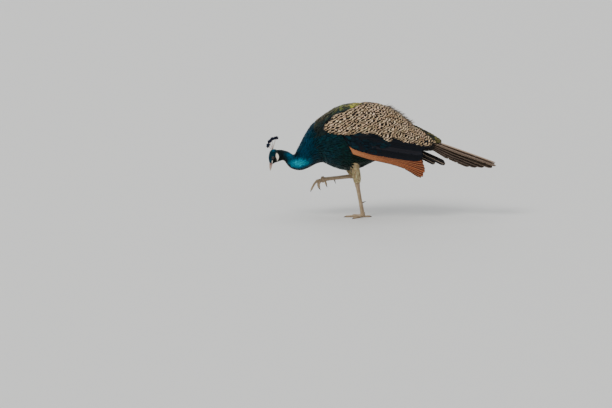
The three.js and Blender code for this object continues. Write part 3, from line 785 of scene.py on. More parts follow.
def lay_feather(coat, root, way, colours, place, length, width, outline, depth, lift, thick, arch, turn,
                ragged=0.0, tip_dark=0.0, wide=True, curl=0.0, keep=None):
    """Lays one feather along the body from its root. way is its lie, turn a swing to one side, depth and lift
    its place under and over the surface at the root and the tip, and keep a test for the places it covers."""
    spot, normal, _, _ = outer_tree.find_nearest(root)
    rows, travelled, heading = [], 0.0, Vector(way)
    for i, (share, half) in enumerate(outline):
        if i:
            spot, normal, _, _ = outer_tree.find_nearest(spot + heading * (share * length - travelled))
        travelled = share * length
        heading = heading - normal * heading.dot(normal)
        if heading.length < 1e-3:
            return False
        heading.normalize()
        if i == 0:
            heading.rotate(Matrix.Rotation(turn, 3, normal))
        rows.append((spot, normal, heading, share, half))
    if keep:
        tip, _, ahead, _, _ = rows[-1]
        spot, normal, _, _, half = rows[-2]
        side = normal.cross(ahead) * half * width * 0.2
        if not (keep(tip) and keep(spot + side) and keep(spot - side)):
            return False
    across = WIDE_RING if wide else NARROW_RING
    own = rng.random()
    tilt = rng.uniform(-0.12, 0.12)
    shape, vane, edge, places = (np.empty((len(rows), len(across), size)) for size in (3, 3, 1, 2))
    for i, (spot, normal, heading, share, half) in enumerate(rows):
        side = normal.cross(heading)
        height = -depth + (depth + lift) * share**1.3 + curl * share**3
        feet = []
        for sign in (-1, 1):
            reach = half * width / 2 * (1 - ragged * rng.random() * (i > 1))
            foot, foot_normal, _, gap = outer_tree.find_nearest(spot + side * (sign * reach))
            if gap > reach + 3:
                foot, foot_normal = spot + side * (sign * reach), normal
            feet.append(foot + foot_normal * (height - arch * reach + tilt * sign * reach))
        top = spot + normal * height
        ring = [feet[0], top, feet[1], top - normal * thick]
        if wide:
            slack = normal * (0.16 * arch * width * half)
            ring[1:2] = [(feet[0] + top) / 2 + slack, top, (feet[1] + top) / 2 + slack]
        shape[i] = ring
        vane[i] = [(share * length, c * half * width / 2, own) for c in across]
        edge[i, :, 0] = [min(1.0, max(abs(c) ** 2.2 * 0.85, tip_dark * share**2.5)) for c in across]
        places[i] = [(place[0] + c * 0.0015, place[1] + (share - 0.5) * 0.003) for c in across]
    coat.add(shape, vane, edge, colours, places)
    return True


def scatter(points, triangles, spacing):
    """Points spread evenly over a surface. spacing has the least distance between them for each triangle."""
    corners = points[triangles]
    cross = np.cross(corners[:, 1] - corners[:, 0], corners[:, 2] - corners[:, 0])
    area = np.linalg.norm(cross, axis=1) / 2
    weight = np.where(spacing > 0, area / np.maximum(spacing, 0.1) ** 2, 0)
    count = int(weight.sum() * TRIES)
    picked = rng.choice(len(triangles), count, p=weight / weight.sum())
    u, v = rng.random((2, count))
    flip = u + v > 1
    u[flip], v[flip] = 1 - u[flip], 1 - v[flip]
    found = corners[picked]
    spots = found[:, 0] + (found[:, 1] - found[:, 0]) * u[:, None] + (found[:, 2] - found[:, 0]) * v[:, None]
    tree = KDTree(count)
    for i, spot in enumerate(spots):
        tree.insert(spot, i)
    tree.balance()
    dropped = np.zeros(count, bool)
    kept = []
    for i in range(count):
        if dropped[i]:
            continue
        kept.append(i)
        for _, j, _ in tree.find_range(spots[i], spacing[picked[i]]):
            dropped[j] = True
    return spots[kept], picked[kept]


def kind_of(point, normal, owner):
    """Which kind of feather grows at a place, and the space between two of them. None where there is none."""
    x, y, z = point
    hx, hy, hz = in_head(point)
    if bare_patch(point) > -0.1:
        return None, 0
    if owner == "head":
        if abs(hy) > 4 and math.hypot(hx / 1.1, hz - EYE_UP) < 5.3:
            return None, 0
        return "head", ramp(hx, (-24, 0, 34), (0.9, 1.2, 1.6))
    if owner == "neck_upper":
        return "neck", ramp(x, (-352, -290), (1.9, 2.6))
    if owner == "neck_middle":
        return "neck", 3.2
    if owner in ("neck_lower", "breast", "belly", "rump"):
        station, share, _ = body_place(x, z)
        on_top = normal[2] > 0.22 and share < 0.42 and (x > -200 or z > 388)
        if on_top and station > 8.7:
            return ("mantle", 7.2) if x < 62 else ("back", 9.0)
        if owner == "neck_lower":
            return "neck", ramp(station, (6, 9), (3.8, 5.6))
        if owner == "rump":
            return "vent", 8.0
        return "breast", ramp(station, (9, 11.5, 14), (6.4, 7.6, 8.6))
    if owner == "tail_coverts":
        return ("tail_covert", 6.5) if normal[2] > -0.2 else ("vent", 7.0)
    if owner.startswith("thigh"):
        return "thigh", 4.6
    if 95 < x < 200 and normal[2] > 0.2 and -11 < y < 26 and wander(point, 16) > -0.25:
        return "down", 3.6
    if owner.endswith("scapulars"):
        return "barred", ramp(x, (-160, -60, 80, 160), (6.5, 8.5, 11, 12))
    if owner.endswith("tertials"):
        return "barred", ramp(x, (130, 300), (12, 13))
    if owner.endswith("secondaries") and abs(y) > 30 and normal[1] * y > 0:
        return "wing_covert", 9.5
    return None, 0


def on_barred(spot):
    return owner_at(spot).endswith(("scapulars", "tertials"))


def off_bare(spot):
    return bare_patch(spot) < 0.1


def off_wing(spot):
    return not owner_at(spot).startswith("wing")


def form(outline, depth, lift, thick, arch, **more):
    return {"outline": outline, "depth": depth, "lift": lift, "thick": thick, "arch": arch, **more}


FORMS = {
    "head": form(SMALL, 0.3, 0.12, 0.08, 0.06, wide=False, keep=off_bare),
    "neck": form(POINTED, 1.2, 0.8, 0.15, 0.12, ragged=0.2, wide=False, keep=off_bare),
    "breast": form(ROUND, 2.2, 1.1, 0.3, 0.14, ragged=0.25, keep=off_wing),
    "mantle": form(ROUND, 2.0, 1.2, 0.3, 0.16, tip_dark=0.8, keep=off_wing),
    "back": form(ROUND, 2.0, 1.2, 0.3, 0.16, tip_dark=0.8, keep=off_wing),
    "barred": form(ROUND, 1.5, 1.0, 0.3, 0.05, ragged=0.12, keep=on_barred),
    "wing_covert": form(ROUND, 1.6, 0.5, 0.35, 0.06),
    "vent": form(LOOSE, 2.5, 1.5, 0.3, 0.15, ragged=0.3, wide=False),
    "thigh": form(LOOSE, 1.2, 0.7, 0.2, 0.15, ragged=0.3, wide=False),
    "tail_covert": form(ROUND, 1.6, 1.0, 0.3, 0.14),
    "down": form(LOOSE, 2.0, 2.0, 0.25, 0.2, ragged=0.6, wide=False),
}
# Shares of the length that are tried in turn, until a feather's tip comes to lie where its kind belongs.
SHORTER = dict.fromkeys(("head", "breast", "mantle", "back"), (1, 0.7, 0.45))
SHORTER["barred"] = (1, 0.82, 0.66, 0.5, 0.38, 0.28)

iridescent = feather_material("iridescent_feathers", 0.4, metallic=0.6, shaft=0.0, barb=0.16, specular=0.25)
dark_feathers = feather_material("dark_feathers", 0.5, metallic=0.3, shaft=0.1, barb=0.16, specular=0.15)
mantle_feathers = feather_material("mantle_feathers", 0.45, metallic=0.35, shaft=0.15)
barred_feathers = feather_material("barred_feathers", 0.7, barred=True, shaft=0.2, barb=0.08, specular=0.15)
soft_feathers = feather_material(
    "soft_feathers", 0.8, shaft=0.0, barb=0.2, sheen=0.1, specular=0.15, pitch=0.9
)

COATS = {
    "head": Coat("coat_head", "plumage_blue", iridescent),
    "neck": Coat("coat_neck", "plumage_blue", iridescent),
    "breast": Coat("coat_breast", "plumage_teal", iridescent),
    "mantle": Coat("coat_mantle", "plumage_bronze", mantle_feathers),
    "back": Coat("coat_back", "plumage_bronze", mantle_feathers),
    "barred": Coat("coat_barred", "plumage_barred", barred_feathers),
    "wing_covert": Coat("coat_wing_coverts", "plumage_dark", dark_feathers),
    "vent": Coat("coat_vent", "plumage_dark", soft_feathers),
    "thigh": Coat("coat_thighs", "plumage_buff", soft_feathers),
    "tail_covert": Coat("coat_tail_coverts", "plumage_bronze", mantle_feathers),
    "down": Coat("coat_down", "plumage_barred", soft_feathers),
}


# How much darker a small feather's rim is than the rest, or None for a dark edge, and how much they vary.
RIMS = {
    "head": (0.4, 0.2), "neck": (0.45, 0.18), "breast": (0.55, 0.2), "mantle": (None, 0.3),
    "back": (None, 0.3), "barred": (0.12, 0.07), "wing_covert": (0.5, 0.12), "vent": (0.4, 0.25),
    "thigh": (0.3, 0.12), "tail_covert": (None, 0.2), "down": (0.2, 0.12),
}
# The two colours that a small feather's own lies between, and how far it goes to the second one.
BETWEEN = {
    "wing_covert": (WING_BLACK, WING_TEAL, 1), "thigh": (THIGH_BUFF, THIGH_DARK, 0.8),
    "down": (DOWN_GREY, DOWN_PALE, 1),
}
# The dark coverts of the wing end on a slanting line: where at this height, and how far forward by the height.
COVERT_END, COVERT_LEVEL, COVERT_SLANT = 95, 352, 0.8
DARK_SHARE = 0.3  # the share of the mantle's and back's feathers that are nearly all dark
BRONZE_SHARE = 0.55  # the share of the tail's coverts that are bronze


def tint_of(kind, point):
    """A small feather's colour."""
    if kind == "head":
        return face_colours(*in_head(point))
    if kind in ("neck", "breast"):
        return body_colours(point)
    if kind in ("mantle", "back"):
        tint = mantle_colours(point) if kind == "mantle" else BACK_GREEN
        return blend_colours(tint, MANTLE_EDGE, 0.65) if rng.random() < DARK_SHARE else tint
    if kind == "barred":
        return blend_colours(BAR_LIGHT, BAR_WARM, rng.random() * 0.55 + 0.15 * wander(point, 60))
    if kind == "vent":
        return VENT_BROWN
    if kind == "tail_covert":
        bronze = rng.random() < BRONZE_SHARE
        return blend_colours(BRONZE, BRONZE_LIGHT, rng.random()) if bronze else BRONZE_DARK
    first, second, reach = BETWEEN[kind]
    return blend_colours(first, second, rng.random() * reach)


def size_of(kind, point, station, size):
    """A small feather's length and width. size is how large it is for its kind and place."""
    x, _, z = point
    if kind == "head":
        length = ramp(in_head(point)[0], (-24, 0, 34), (2.6, 3.8, 5.6)) * size
        return length, length * 0.42
    if kind == "neck":
        return [ramp(station, (0, 4, 9), sizes) * size for sizes in ((5.6, 10, 18), (2.3, 4.3, 9))]
    if kind == "breast":
        length = ramp(station, (9, 14), (21, 28)) * size
        return length, length * 0.55
    if kind in ("mantle", "back"):
        length = (19 if kind == "mantle" else 27) * size
        return length, length * 0.68
    if kind == "barred":
        length = ramp(x, (-160, -60, 80, 160, 300), (22, 30, 42, 52, 56)) * size
        return length, length * ramp(x, (-160, 160), (0.74, 0.56))
    if kind == "wing_covert":
        return ramp(x, (-50, 90), (30, 58)) * size, 20
    if kind == "thigh":
        return (10 + 6 * clamp((z - 150) / 70)) * size, 5.5
    length, width = {"vent": (34, 12), "down": (28, 11), "tail_covert": (24, 11)}[kind]
    return length * size, width


def way_of(kind, point, owner):
    """The way that a small feather lies."""
    x, _, z = point
    if kind == "head":
        spot = in_head(point)
        return Vector(out_of_head(spot + (1, 0, 0))) - Vector(out_of_head(spot))
    if kind in ("barred", "wing_covert"):
        return wing_flow(x, z)
    if kind == "thigh":
        return leg_flow(Vector(point), owner[-1])
    return Vector((1, 0, -0.36)) if kind == "tail_covert" else body_flow(x, z)


def grow(kind, point, owner):
    """One small feather of a kind, and a shorter one where a long one would cover what it shouldn't."""
    x, _, z = point
    laid = {**FORMS[kind], "turn": math.radians(rng.uniform(-7, 7))}
    station = body_place(x, z)[0]
    length, width = size_of(kind, point, station, rng.uniform(0.88, 1.14))
    tint = tint_of(kind, point)
    share, vary = RIMS[kind]
    dyes = {}
    if kind == "barred":
        dyes = {"bar": BAR_DARK, "quill": darker(tint, 0.25)}
    elif kind == "wing_covert":
        dyes = {"quill": (20, 20, 24)}
    colours = colours_of(tint, darker(tint, share) if share else MANTLE_EDGE, vary=vary, **dyes)
    if kind == "neck":
        laid["lift"] = ramp(station, (2, 7), (0.25, 0.8))
    if kind == "down":
        laid["turn"] = math.radians(rng.uniform(-28, 28))
        laid["curl"] = rng.uniform(2, 15)
    if kind == "wing_covert" and x > COVERT_END - (COVERT_LEVEL - z) * COVERT_SLANT:
        return
    way, place = way_of(kind, point, owner), flat_place(point, owner)
    for part in SHORTER.get(kind, (1,)):
        broad = width * (0.4 + 0.6 * part) if kind == "barred" else width
        if lay_feather(COATS[kind], point, way, colours, place, length * part, broad, **laid):
            return


corners = outer_points[outer_triangles]
centres = corners.mean(1)
normals = np.cross(corners[:, 1] - corners[:, 0], corners[:, 2] - corners[:, 0])
normals /= np.maximum(np.linalg.norm(normals, axis=1), 1e-9)[:, None]
owners = [owner_at(centre) for centre in centres]
kinds, spacing = zip(*(kind_of(*place) for place in zip(centres, normals, owners)))
for root, triangle in zip(*scatter(outer_points, outer_triangles, np.array(spacing, float))):
    grow(kinds[triangle], root, owners[triangle])
for coat in COATS.values():
    coat.finish()


# ---- Long feathers ----

SHAFT = (0.9, 0.3)  # how far a shaft stands out to each side, at the root and at the tip


def add_quill(coat, surface, outward, colours, cell, cells, rows, shaft_at=0.0, shaft=SHAFT, thick=0.4,
              ragged=0.05, splits=3, edge_power=2.6, paint_row=None):
    """A long feather with a raised shaft. surface(a, c) is a point of its vane, where a runs from 0 at the
    root to 1 at the tip and c from -1 to 1 across. outward is the way its top faces, and cell its place on
    the unwrap."""

    def at(a, c):
        return Vector(surface(a, c))

    own = rng.random()
    slits = {int(v): rng.uniform(0.12, 0.4) for v in rng.integers(rows * 0.3, rows - 2, splits)}
    slits = {row: (cut, rng.random() < 0.5) for row, cut in slits.items()}
    shape, vane, edge, places = (np.empty((rows, 9, size)) for size in (3, 3, 1, 2))
    tints = {key: np.empty((rows, 9, 3)) for key in colours}
    travelled, before = 0.0, at(0, shaft_at)
    for r in range(rows):
        a = r / (rows - 1)
        cut, on_low = slits.get(r, (0, True))
        low = -1 + ragged * rng.random() + cut * on_low
        high = 1 - ragged * rng.random() - cut * (not on_low)
        middle = at(a, shaft_at)
        ahead = at(min(1, a + 0.01), shaft_at) - at(max(0, a - 0.01), shaft_at)
        span = at(a, 0.95) - at(a, -0.95)
        normal = ahead.cross(span)
        normal = normal.normalized() if normal.length > 1e-9 else Vector(outward)
        if normal.dot(Vector(outward)) < 0:
            normal = -normal
        wide = max(span.length / 2, 0.05)
        travelled += (middle - before).length
        before = middle
        rib = shaft[0] + (shaft[1] - shaft[0]) * a
        step = min(0.3, rib / wide)
        spots = [low, (low + shaft_at) / 2, shaft_at - step, shaft_at, shaft_at + step]
        spots += [(high + shaft_at) / 2, high]
        ring = [at(a, c) for c in spots]
        ring[3] = ring[3] + normal * rib * 0.7
        ring += [ring[4] - normal * thick, ring[2] - normal * thick]
        shape[r] = ring
        across = (*spots, spots[4], spots[2])
        vane[r] = [(travelled, (c - shaft_at) * wide, own) for c in across]
        edge[r, :, 0] = [min(1.0, abs(c) ** edge_power) for c in across]
        places[r] = [((cell + 0.5 + 0.42 * c) / cells, 0.02 + 0.96 * a) for c in across]
        for key, colour in colours.items():
            tints[key][r] = paint_row(key, colour, a) if paint_row else colour
    coat.add(shape, vane, edge, tints, places)


def along_line(points, share):
    """A point on an open line of (x, z) points, at a share of its length. It runs on past its end."""
    points = np.asarray(points, float)
    steps = np.linalg.norm(np.diff(points, axis=0), axis=1)
    at = np.concatenate(([0], np.cumsum(steps))) / steps.sum()
    if share > 1:
        return points[-1] + (points[-1] - points[-2]) / (at[-1] - at[-2]) * (share - 1)
    return np.array((np.interp(share, at, points[:, 0]), np.interp(share, at, points[:, 1])))


WING_ROUNDING = 2.25  # the power of the curve of the wing's section
WING_TAPER = 0.9  # the share of a flight feather's length where its tip begins
FAN_TOP = [(-46, 309), (34, 286), (137, 264), (236, 247)]
FAN_LOW = [(-40, 281), (33, 257), (120, 236), (170, 219), (206, 198), (234, 178)]
FLIGHT_TOP = [(-58, 352), (30, 358), (130, 346), (230, 324), (303, 310)]
FLIGHT_LOW = [(-45, 307), (34, 281), (137, 260), (236, 244)]
# How far back the secondaries reach, by their share of the way down.
FLIGHT_ENDS = ((0, 0.3, 0.55, 0.8, 1), (306, 264, 243, 250, 240))
PRIMARY_COUNT, SECONDARY_COUNT = 8, 9


def wing_point(x, z, depth, side):
    """A point at some depth under the folded wing's outer surface."""
    top, mid, low, half = (np.interp(x, WING[:, 0], WING[:, i]) for i in (1, 2, 3, 4))
    reach = top - mid if z > mid else mid - low
    level = min(1.0, abs(z - mid) / reach) ** WING_ROUNDING
    out = half * max(0.0, 1 - level) ** (1 / WING_ROUNDING)
    return np.array((x, (out - depth) * side, z))


def wing_quill(coat, lines, share, span, start, end, depth, side, colours, bulge=0.15, root=0.45, **more):
    """A flight feather of the folded wing, whose lower edge lies at a share of the way between two lines."""

    def surface(a, c):
        where = start + (end - start) * a
        past = (a - WING_TAPER) / (1 - WING_TAPER + 0.004)
        tip = math.sqrt(max(0.0, 1 - past**2)) if past > 0 else 1
        narrow = root + (1 - root) * min(1.0, a / 0.15)
        place = share - span / 2 + (c * tip * narrow) * span / 2 + (1 - tip) * span * 0.18
        upper, lower = (along_line(line, where) for line in lines)
        x, z = upper + (lower - upper) * place
        return wing_point(x, z, depth + 0.45 * (1 - c) - bulge * (1 - c * c), side)

    add_quill(coat, surface, (0, side, 0.2), colours, **more, rows=60)


def both_wings(count):
    """The long feathers of both wings: side, number, share of the way down, and place on the unwrap."""
    for side in (-1, 1):
        for k in range(count):
            yield side, k, (k + 1) / count, {"cell": k + (count if side > 0 else 0), "cells": count * 2}


def rufous_row(key, colour, a):
    """A primary's colour along its length: paler at the front with a painted highlight, and darker toward the
    tip.
    """
    if key == "quill":
        return colour
    # painted highlight toward the front of the feather
    front = max(0.0, 1 - a / 0.45) * 0.55
    return colour * (1 - front) * (1 - 0.3 * max(0.0, a - 0.7) / 0.3) + linear(CHESTNUT_HIGHLIGHT) * front


def build_primaries():
    material = feather_material("rufous_feathers", 0.6, shaft=0.8, barb=0.16, pitch=1.1)
    coat = Coat("primaries", "plumage_rufous", material)
    for side, k, share, cell in both_wings(PRIMARY_COUNT):
        beyond = 24 * math.sin(math.pi * min(1, (1 - share) * 0.8 + 0.17)) + 5 + rng.uniform(-3, 2)
        end = 1 + (beyond + 3) / 285
        tint = blend_colours(CHESTNUT, CHESTNUT_DARK, (0.0, 0.55, 0.15, 0.8)[k % 4] + 0.2 * rng.random())
        colours = colours_of(tint, darker(tint, 0.6), quill=(240, 172, 116), vary=0.06)
        wing_quill(coat, (FAN_TOP, FAN_LOW), share, 3.0 / PRIMARY_COUNT, 0.004 * k, end, 8.6 + 0.6 * k, side,
                   colours, bulge=0.3, root=1.0, shaft_at=0.4, ragged=0.07, shaft=(1.2, 0.4),
                   paint_row=rufous_row, **cell)
    coat.finish(PRIMARIES)


def build_secondaries():
    material = feather_material(
        "flight_feathers", 0.5, metallic=0.2, shaft=0.5, barb=0.2, specular=0.15, pitch=1.2
    )
    coat = Coat("secondaries", "plumage_dark", material)
    upper, lower = (along_line(line, 1)[0] for line in (FLIGHT_TOP, FLIGHT_LOW))
    for side, k, share, cell in both_wings(SECONDARY_COUNT):
        base = upper + (lower - upper) * share
        end = 1 + (np.interp(share, *FLIGHT_ENDS) - base) / 320
        tint = blend_colours(WING_BLACK, (24, 28, 38), rng.random() * 0.5)
        if k in (4, 5):
            tint = blend_colours(tint, (66, 60, 64), 0.45)
        colours = colours_of(tint, blend_colours(tint, (52, 48, 46), 0.3), quill=(34, 31, 32))
        wing_quill(coat, (FLIGHT_TOP, FLIGHT_LOW), share, 2.6 / SECONDARY_COUNT, 0.05 + 0.012 * k, end,
                   4.5 + 0.12 * k, side, colours, shaft_at=0.3, splits=4, ragged=0.06, **cell)
    coat.finish()


# The tail's layers: root (x, z), length, width, and degrees down, out and over to the side.
TAIL = [
    (313, 316, 262, 40, 18.5, 0, 0), (313, 312.6, 264, 40, 18.5, 1, 14),
    (313, 309.2, 251, 40, 19.2, 1.8, 24), (313, 305.8, 217, 39, 19.9, 2.6, 34),
    (313, 302.4, 190, 38, 20.6, 3.4, 44), (313, 299, 160, 36, 21.3, 4.2, 54),
    (250, 284, 116, 26, 22.5, 5, 52), (226, 281, 97, 25, 23, 6, 54),
]
TAIL_ARCH = 3
TAIL_DROOP = 5
TAIL_TIP = 0.88  # the share of a tail feather's length where its round tip begins


def tail_surface(layer, side):
    x0, z0, length, width, pitch, yaw, roof = layer
    turn, lean, spread = math.radians(pitch), math.radians(roof), math.tan(math.radians(yaw))

    def surface(a, c):
        at_tip = a > TAIL_TIP
        rounding = 0.6 + 0.4 * min(1.0, a / 0.4)
        if at_tip:
            rounding = math.sqrt(max(0.0, 1 - ((a - TAIL_TIP) / 0.122) ** 2))
        rise = 0.6 + TAIL_ARCH * (1 - c * c)
        if side == 0:
            y, z = c * width * rounding / 2, rise
        else:
            out = width / 2 + c * width * rounding / 2 if at_tip else (c + 1) * width * rounding / 2
            y = side * (1 + a * length * spread + out * math.cos(lean) + rise * math.sin(lean))
            z = rise * math.cos(lean) - abs(out) * math.sin(lean)
        z -= TAIL_DROOP * a * a
        x = length * a - 24 * (1 - a)
        return (x0 + x * math.cos(turn) + z * math.sin(turn), y, z0 - x * math.sin(turn) + z * math.cos(turn))

    return surface


def build_tail():
    material = feather_material("tail_feathers", 0.6, shaft=0.9, barb=0.18, pitch=1.1)
    coat = Coat("tail_feathers", "plumage_tail", material)
    feathers = [(0, 0)] + [(k, side) for k in range(1, len(TAIL)) for side in (-1, 1)]
    for cell, (k, side) in enumerate(feathers):
        rim = blend_colours(TAIL_TINTS[k], TAIL_RIM, 0.7 if k < 6 else 0.15)
        colours = colours_of(TAIL_TINTS[k], rim, quill=(214, 188, 162) if k else (176, 146, 124), vary=0.06)
        add_quill(coat, tail_surface(TAIL[k], side), (0, side * 0.6, 1), colours, cell, len(feathers), 90,
                  shaft_at=0.3 if side else 0.0, shaft=(1.1, 0.35), thick=0.5, edge_power=10)
    coat.finish(["tail_feather_centre"] + [f"tail_feather_{side}{k}" for side in "lr" for k in range(1, 8)])


# The crest's feathers: degrees up from straight back in the head's frame, and length.
CREST = ((-6, 54), (0, 51), (13, 49), (18, 47), (31, 43), (36, 41), (56, 34), (63, 31))
CREST_ROOT = (33, 9)
CREST_BARBS = 17
CREST_SPREAD = 72  # degrees from the stem to the outermost barbs


def build_crest():
    """Eight feathers, each a bare pale stem with a fan of short dark barbs at its tip."""
    material = feather_material("crest_feathers", 0.5, metallic=0.2, shaft=0.0, barb=0.1)
    coat = Coat("crest", "plumage_blue", material)
    for i, (rise, length) in enumerate(CREST):
        angle = math.radians(rise)
        splay = math.radians(5) * (1 if i % 2 else -1)
        way = Vector((math.cos(angle), math.sin(splay), math.sin(angle))).normalized()
        up = Vector((-math.sin(angle), 0, math.cos(angle)))
        start = Vector((CREST_ROOT[0] + 3 - 0.8 * i, 0, CREST_ROOT[1]))
        flank = way.cross(up)

        def stem(a, c):
            spot = start + way * (length - 7) * a + up * (1.4 * math.sin(math.pi * a))
            return out_of_head(spot + flank * c * (0.95 - 0.45 * a))

        colours = colours_of((206, 170, 150), (170, 140, 124), vary=0.06)
        add_quill(coat, stem, (0, 0, 1), colours, i, 2 * len(CREST), 8, shaft=(0.6, 0.35), thick=0.9, ragged=0,
                  splits=0)
        for j in range(CREST_BARBS):
            fan = CREST_SPREAD * (2 * j / (CREST_BARBS - 1) - 1)
            turn = math.radians(fan + rng.uniform(-5, 5))
            reach = 8.8 + 4.0 * math.cos(turn) + rng.uniform(-1.4, 1.0)
            ahead = way * math.cos(turn) + up * math.sin(turn) + flank * rng.uniform(-0.2, 0.2)
            ahead.normalize()
            hilt = start + way * (length - 11.5 + 2.2 * math.cos(turn))
            broad = ahead.cross(flank)

            def barb(a, c):
                width = 1.35 * math.sin(math.pi * min(1.0, 0.12 + a * 0.86)) ** 0.6
                aside = flank * 0.14 * math.sin(j * 2.1)
                return out_of_head(hilt + ahead * reach * a + broad * c * width + aside)

            tint = blend_colours((8, 14, 46), (24, 18, 50), rng.random())
            tint = blend_colours(tint, (0, 70, 92), 0.7 if rng.random() < 0.15 else 0)
            colours = colours_of(tint, (6, 8, 26), vary=0.15)
            add_quill(coat, barb, (0, 1, 0), colours, len(CREST) + i, 2 * len(CREST), 5, shaft=(0.16, 0.1),
                      thick=0.3, ragged=0, splits=0)
    coat.finish(["crest"])


build_primaries()
build_secondaries()
build_tail()
build_crest()


# ---- Bill, eyes, legs and claws ----


def finish_hard(name, mesh, points, colours, material, nodes):
    """A piece from a remeshed surface, with its points moved and a colour for each of them."""
    mesh.name = name
    mesh.vertices.foreach_set("co", to_frame(points).astype(np.float32).ravel())
    mesh.update()
    store(mesh, "tint", opaque(linear(np.array(colours))))
    make_smooth(mesh)
    finish_piece(name, mesh, material, nodes)


def horn_material(name, roughness, grain, strength=0.2):
    n = Nodes(name)
    streaks = n.noise(grain, 4)
    colour = n.mix(n.times(streaks, 0.45), n.attribute("tint"), (0.12, 0.07, 0.05))
    n.bump(streaks, strength, 0.0003)
    return n.finish(Base_Color=colour, Roughness=n.maths("MULTIPLY_ADD", streaks, 0.2, roughness - 0.1))


GAPE_CLOSING = 0.5  # how far the bill's halves swell toward each other, so that no light shows between them
BILL_ROOT = 3.5  # how far the bill's base runs on under the feathers of the face
BILL_BASE = -27.5  # in the head's frame, like the nostril's place
NOSTRIL = (-31, 7.4)


def build_bill():
    material = horn_material("bill_horn", 0.42, 350)
    inward = HEAD_TURN[:, 0]
    for half, facing in (("upper", -1), ("lower", 1)):
        mesh, points, normals = remeshed([f"bill_{half}"], 0.45, 5)
        turned = normals @ HEAD_TURN
        closing = GAPE_CLOSING * np.maximum(0, turned[:, 2] * facing)
        colours = []
        for i, point in enumerate(points):
            x, y, z = in_head(point)
            points[i] += normals[i] * closing[i]
            if x > BILL_BASE:
                points[i] += inward * BILL_ROOT * max(0.0, turned[i, 0])
            hole = 0
            if half == "upper":
                hole = blob((x, z), NOSTRIL, (2.6, 0.9)) * (abs(y) > 1.5)
                cere = 0.35 / (1 + math.exp((-32 - x) * 1.5))
                points[i] += normals[i] * (cere - 1.3 * hole)
            # the nostril's dent is painted dark as painted shade in its hollow
            tone = (BILL_PALE, (-x - 28) / 26), (BILL_FACE, (x + 33) / 8), (NOSTRIL_SHADE, hole * 1.6)
            colours.append(layered(BILL_ROSE, *tone))
        finish_hard(f"bill_{half}_horn", mesh, points, colours, material, [f"bill_{half}"])


def eye_material():
    n = Nodes("eye")
    ring = n.attribute("ring", "Fac")
    iris = n.mix(n.noise(1500), linear((58, 32, 18)), linear((104, 62, 34)))
    colour = n.mix(n.steps(ring, 0.5, 0.55), linear((1, 1, 1)), iris)
    colour = n.mix(n.steps(ring, 0.74, 0.84), colour, linear((22, 12, 8)))
    gloss = {"Roughness": 0.08, "Specular_IOR_Level": 0.3, "Coat_Weight": 0.25, "Coat_Roughness": 0.03}
    return n.finish(Base_Color=colour, **gloss)


EYE_ROWS, EYE_TURNS = 22, 40
LID_TURNS, LID_RING = 56, 8


def build_eyeball(side, sign, material):
    points, rings = [], []
    for r in range(EYE_ROWS + 1):
        polar = math.pi * r / EYE_ROWS
        flat = math.sin(polar) * EYE_RADIUS * 0.995
        out = sign * math.cos(polar) * EYE_RADIUS * (1 + 0.07 * math.exp(-((polar / 0.6) ** 2))) * 0.96
        for t in range(EYE_TURNS):
            turn = math.tau * t / EYE_TURNS
            points.append(eye_centre(sign) + (flat * math.cos(turn), out, flat * math.sin(turn)))
            rings.append(min(1.0, polar / 1.15))
    faces = tube_faces(EYE_ROWS + 1, EYE_TURNS)[:, ::sign]
    rings = {"ring": rings}
    make_piece(f"eyeball_{side}", out_of_head(points), faces, material, rings, nodes=[f"eye_{side}"])


def build_lids(side, sign, material):
    """The bare rims of an eye's lids, close round it."""
    points = []
    lift = Vector((0, sign, 0))
    for t in range(LID_TURNS):
        turn = math.tau * t / LID_TURNS
        wide = 4.5 + 0.55 * abs(math.cos(turn)) ** 3
        high = 3.7 if math.sin(turn) > 0 else 3.95
        flat = Vector((wide * math.cos(turn), 0, high * math.sin(turn)))
        out = math.sqrt(max(0.0, (EYE_RADIUS + 0.25) ** 2 - min(flat.length, 5.2) ** 2))
        spot = Vector(eye_centre(sign)) + flat + Vector((0, sign * out, 0))
        radial = flat.normalized()
        for k in range(LID_RING):
            c, s = math.cos(math.tau * k / LID_RING), math.sin(math.tau * k / LID_RING)
            points.append(spot + radial * (0.1 + 0.55 * c) + lift * (0.38 * s - 0.25 * c))
    faces = tube_faces(LID_TURNS + 1, LID_RING)[:, ::sign] % len(points)
    tints = np.tile(linear((84, 70, 70)), (len(points), 1))
    make_piece(f"eyelids_{side}", out_of_head(points), faces, material, {"tint": tints})


def build_eyes():
    material = eye_material()
    for side, sign in (("l", -1), ("r", 1)):
        build_eyeball(side, sign, material)
    material = horn_material("lid_skin", 0.6, 900, 0.3)
    for side, sign in (("l", -1), ("r", 1)):
        build_lids(side, sign, material)


# The toes of the foot on the floor: degrees from straight ahead, and the last joint's distance.
TOE_TURNS = {"middle": (0, 68), "inner": (44, 49), "outer": (-46, 54), "hind": (174, 28)}
TOE_HEIGHTS = ((0, 9.5), (0.35, 5), (0.7, 4.2), (1, 3.4))
LIFTED = {
    "middle": [(0, 0, 0), (-20, 0, -3), (-31, 0, -12), (-39, 0, -25), (-47, 0, -41)],
    "inner": [(0, 0, 0), (-11, -12, -7), (-17, -18, -18), (-15, -21, -29)],
    "outer": [(0, 0, 0), (-12, 11, -6), (-20, 17, -18), (-19, 19, -31)],
    "hind": [(8, -2, -1), (11, -4, -9), (13, -5, -15), (14, -6, -20)],
}


def toe_lines(side):
    """The middle line of each toe, as points."""
    x, y, z = ANKLE[side]
    if side == "r":
        return [[Vector((x + a, y + b, z + c)) for a, b, c in line] for line in LIFTED.values()]
    lines = []
    for turn, joint in TOE_TURNS.values():
        dx, dy = -math.cos(math.radians(turn)) * joint, math.sin(math.radians(turn)) * joint
        lines.append([Vector((x + dx * share, y + dy * share, height)) for share, height in TOE_HEIGHTS])
    return lines


TOES = {side: toe_lines(side) for side in "lr"}
SHANK_FRONT = {"l": Vector((-1, 0, 0)), "r": Vector((-0.1, 0, 1))}
LIFTED_BACK = Vector((-0.85, 0, 0.3))


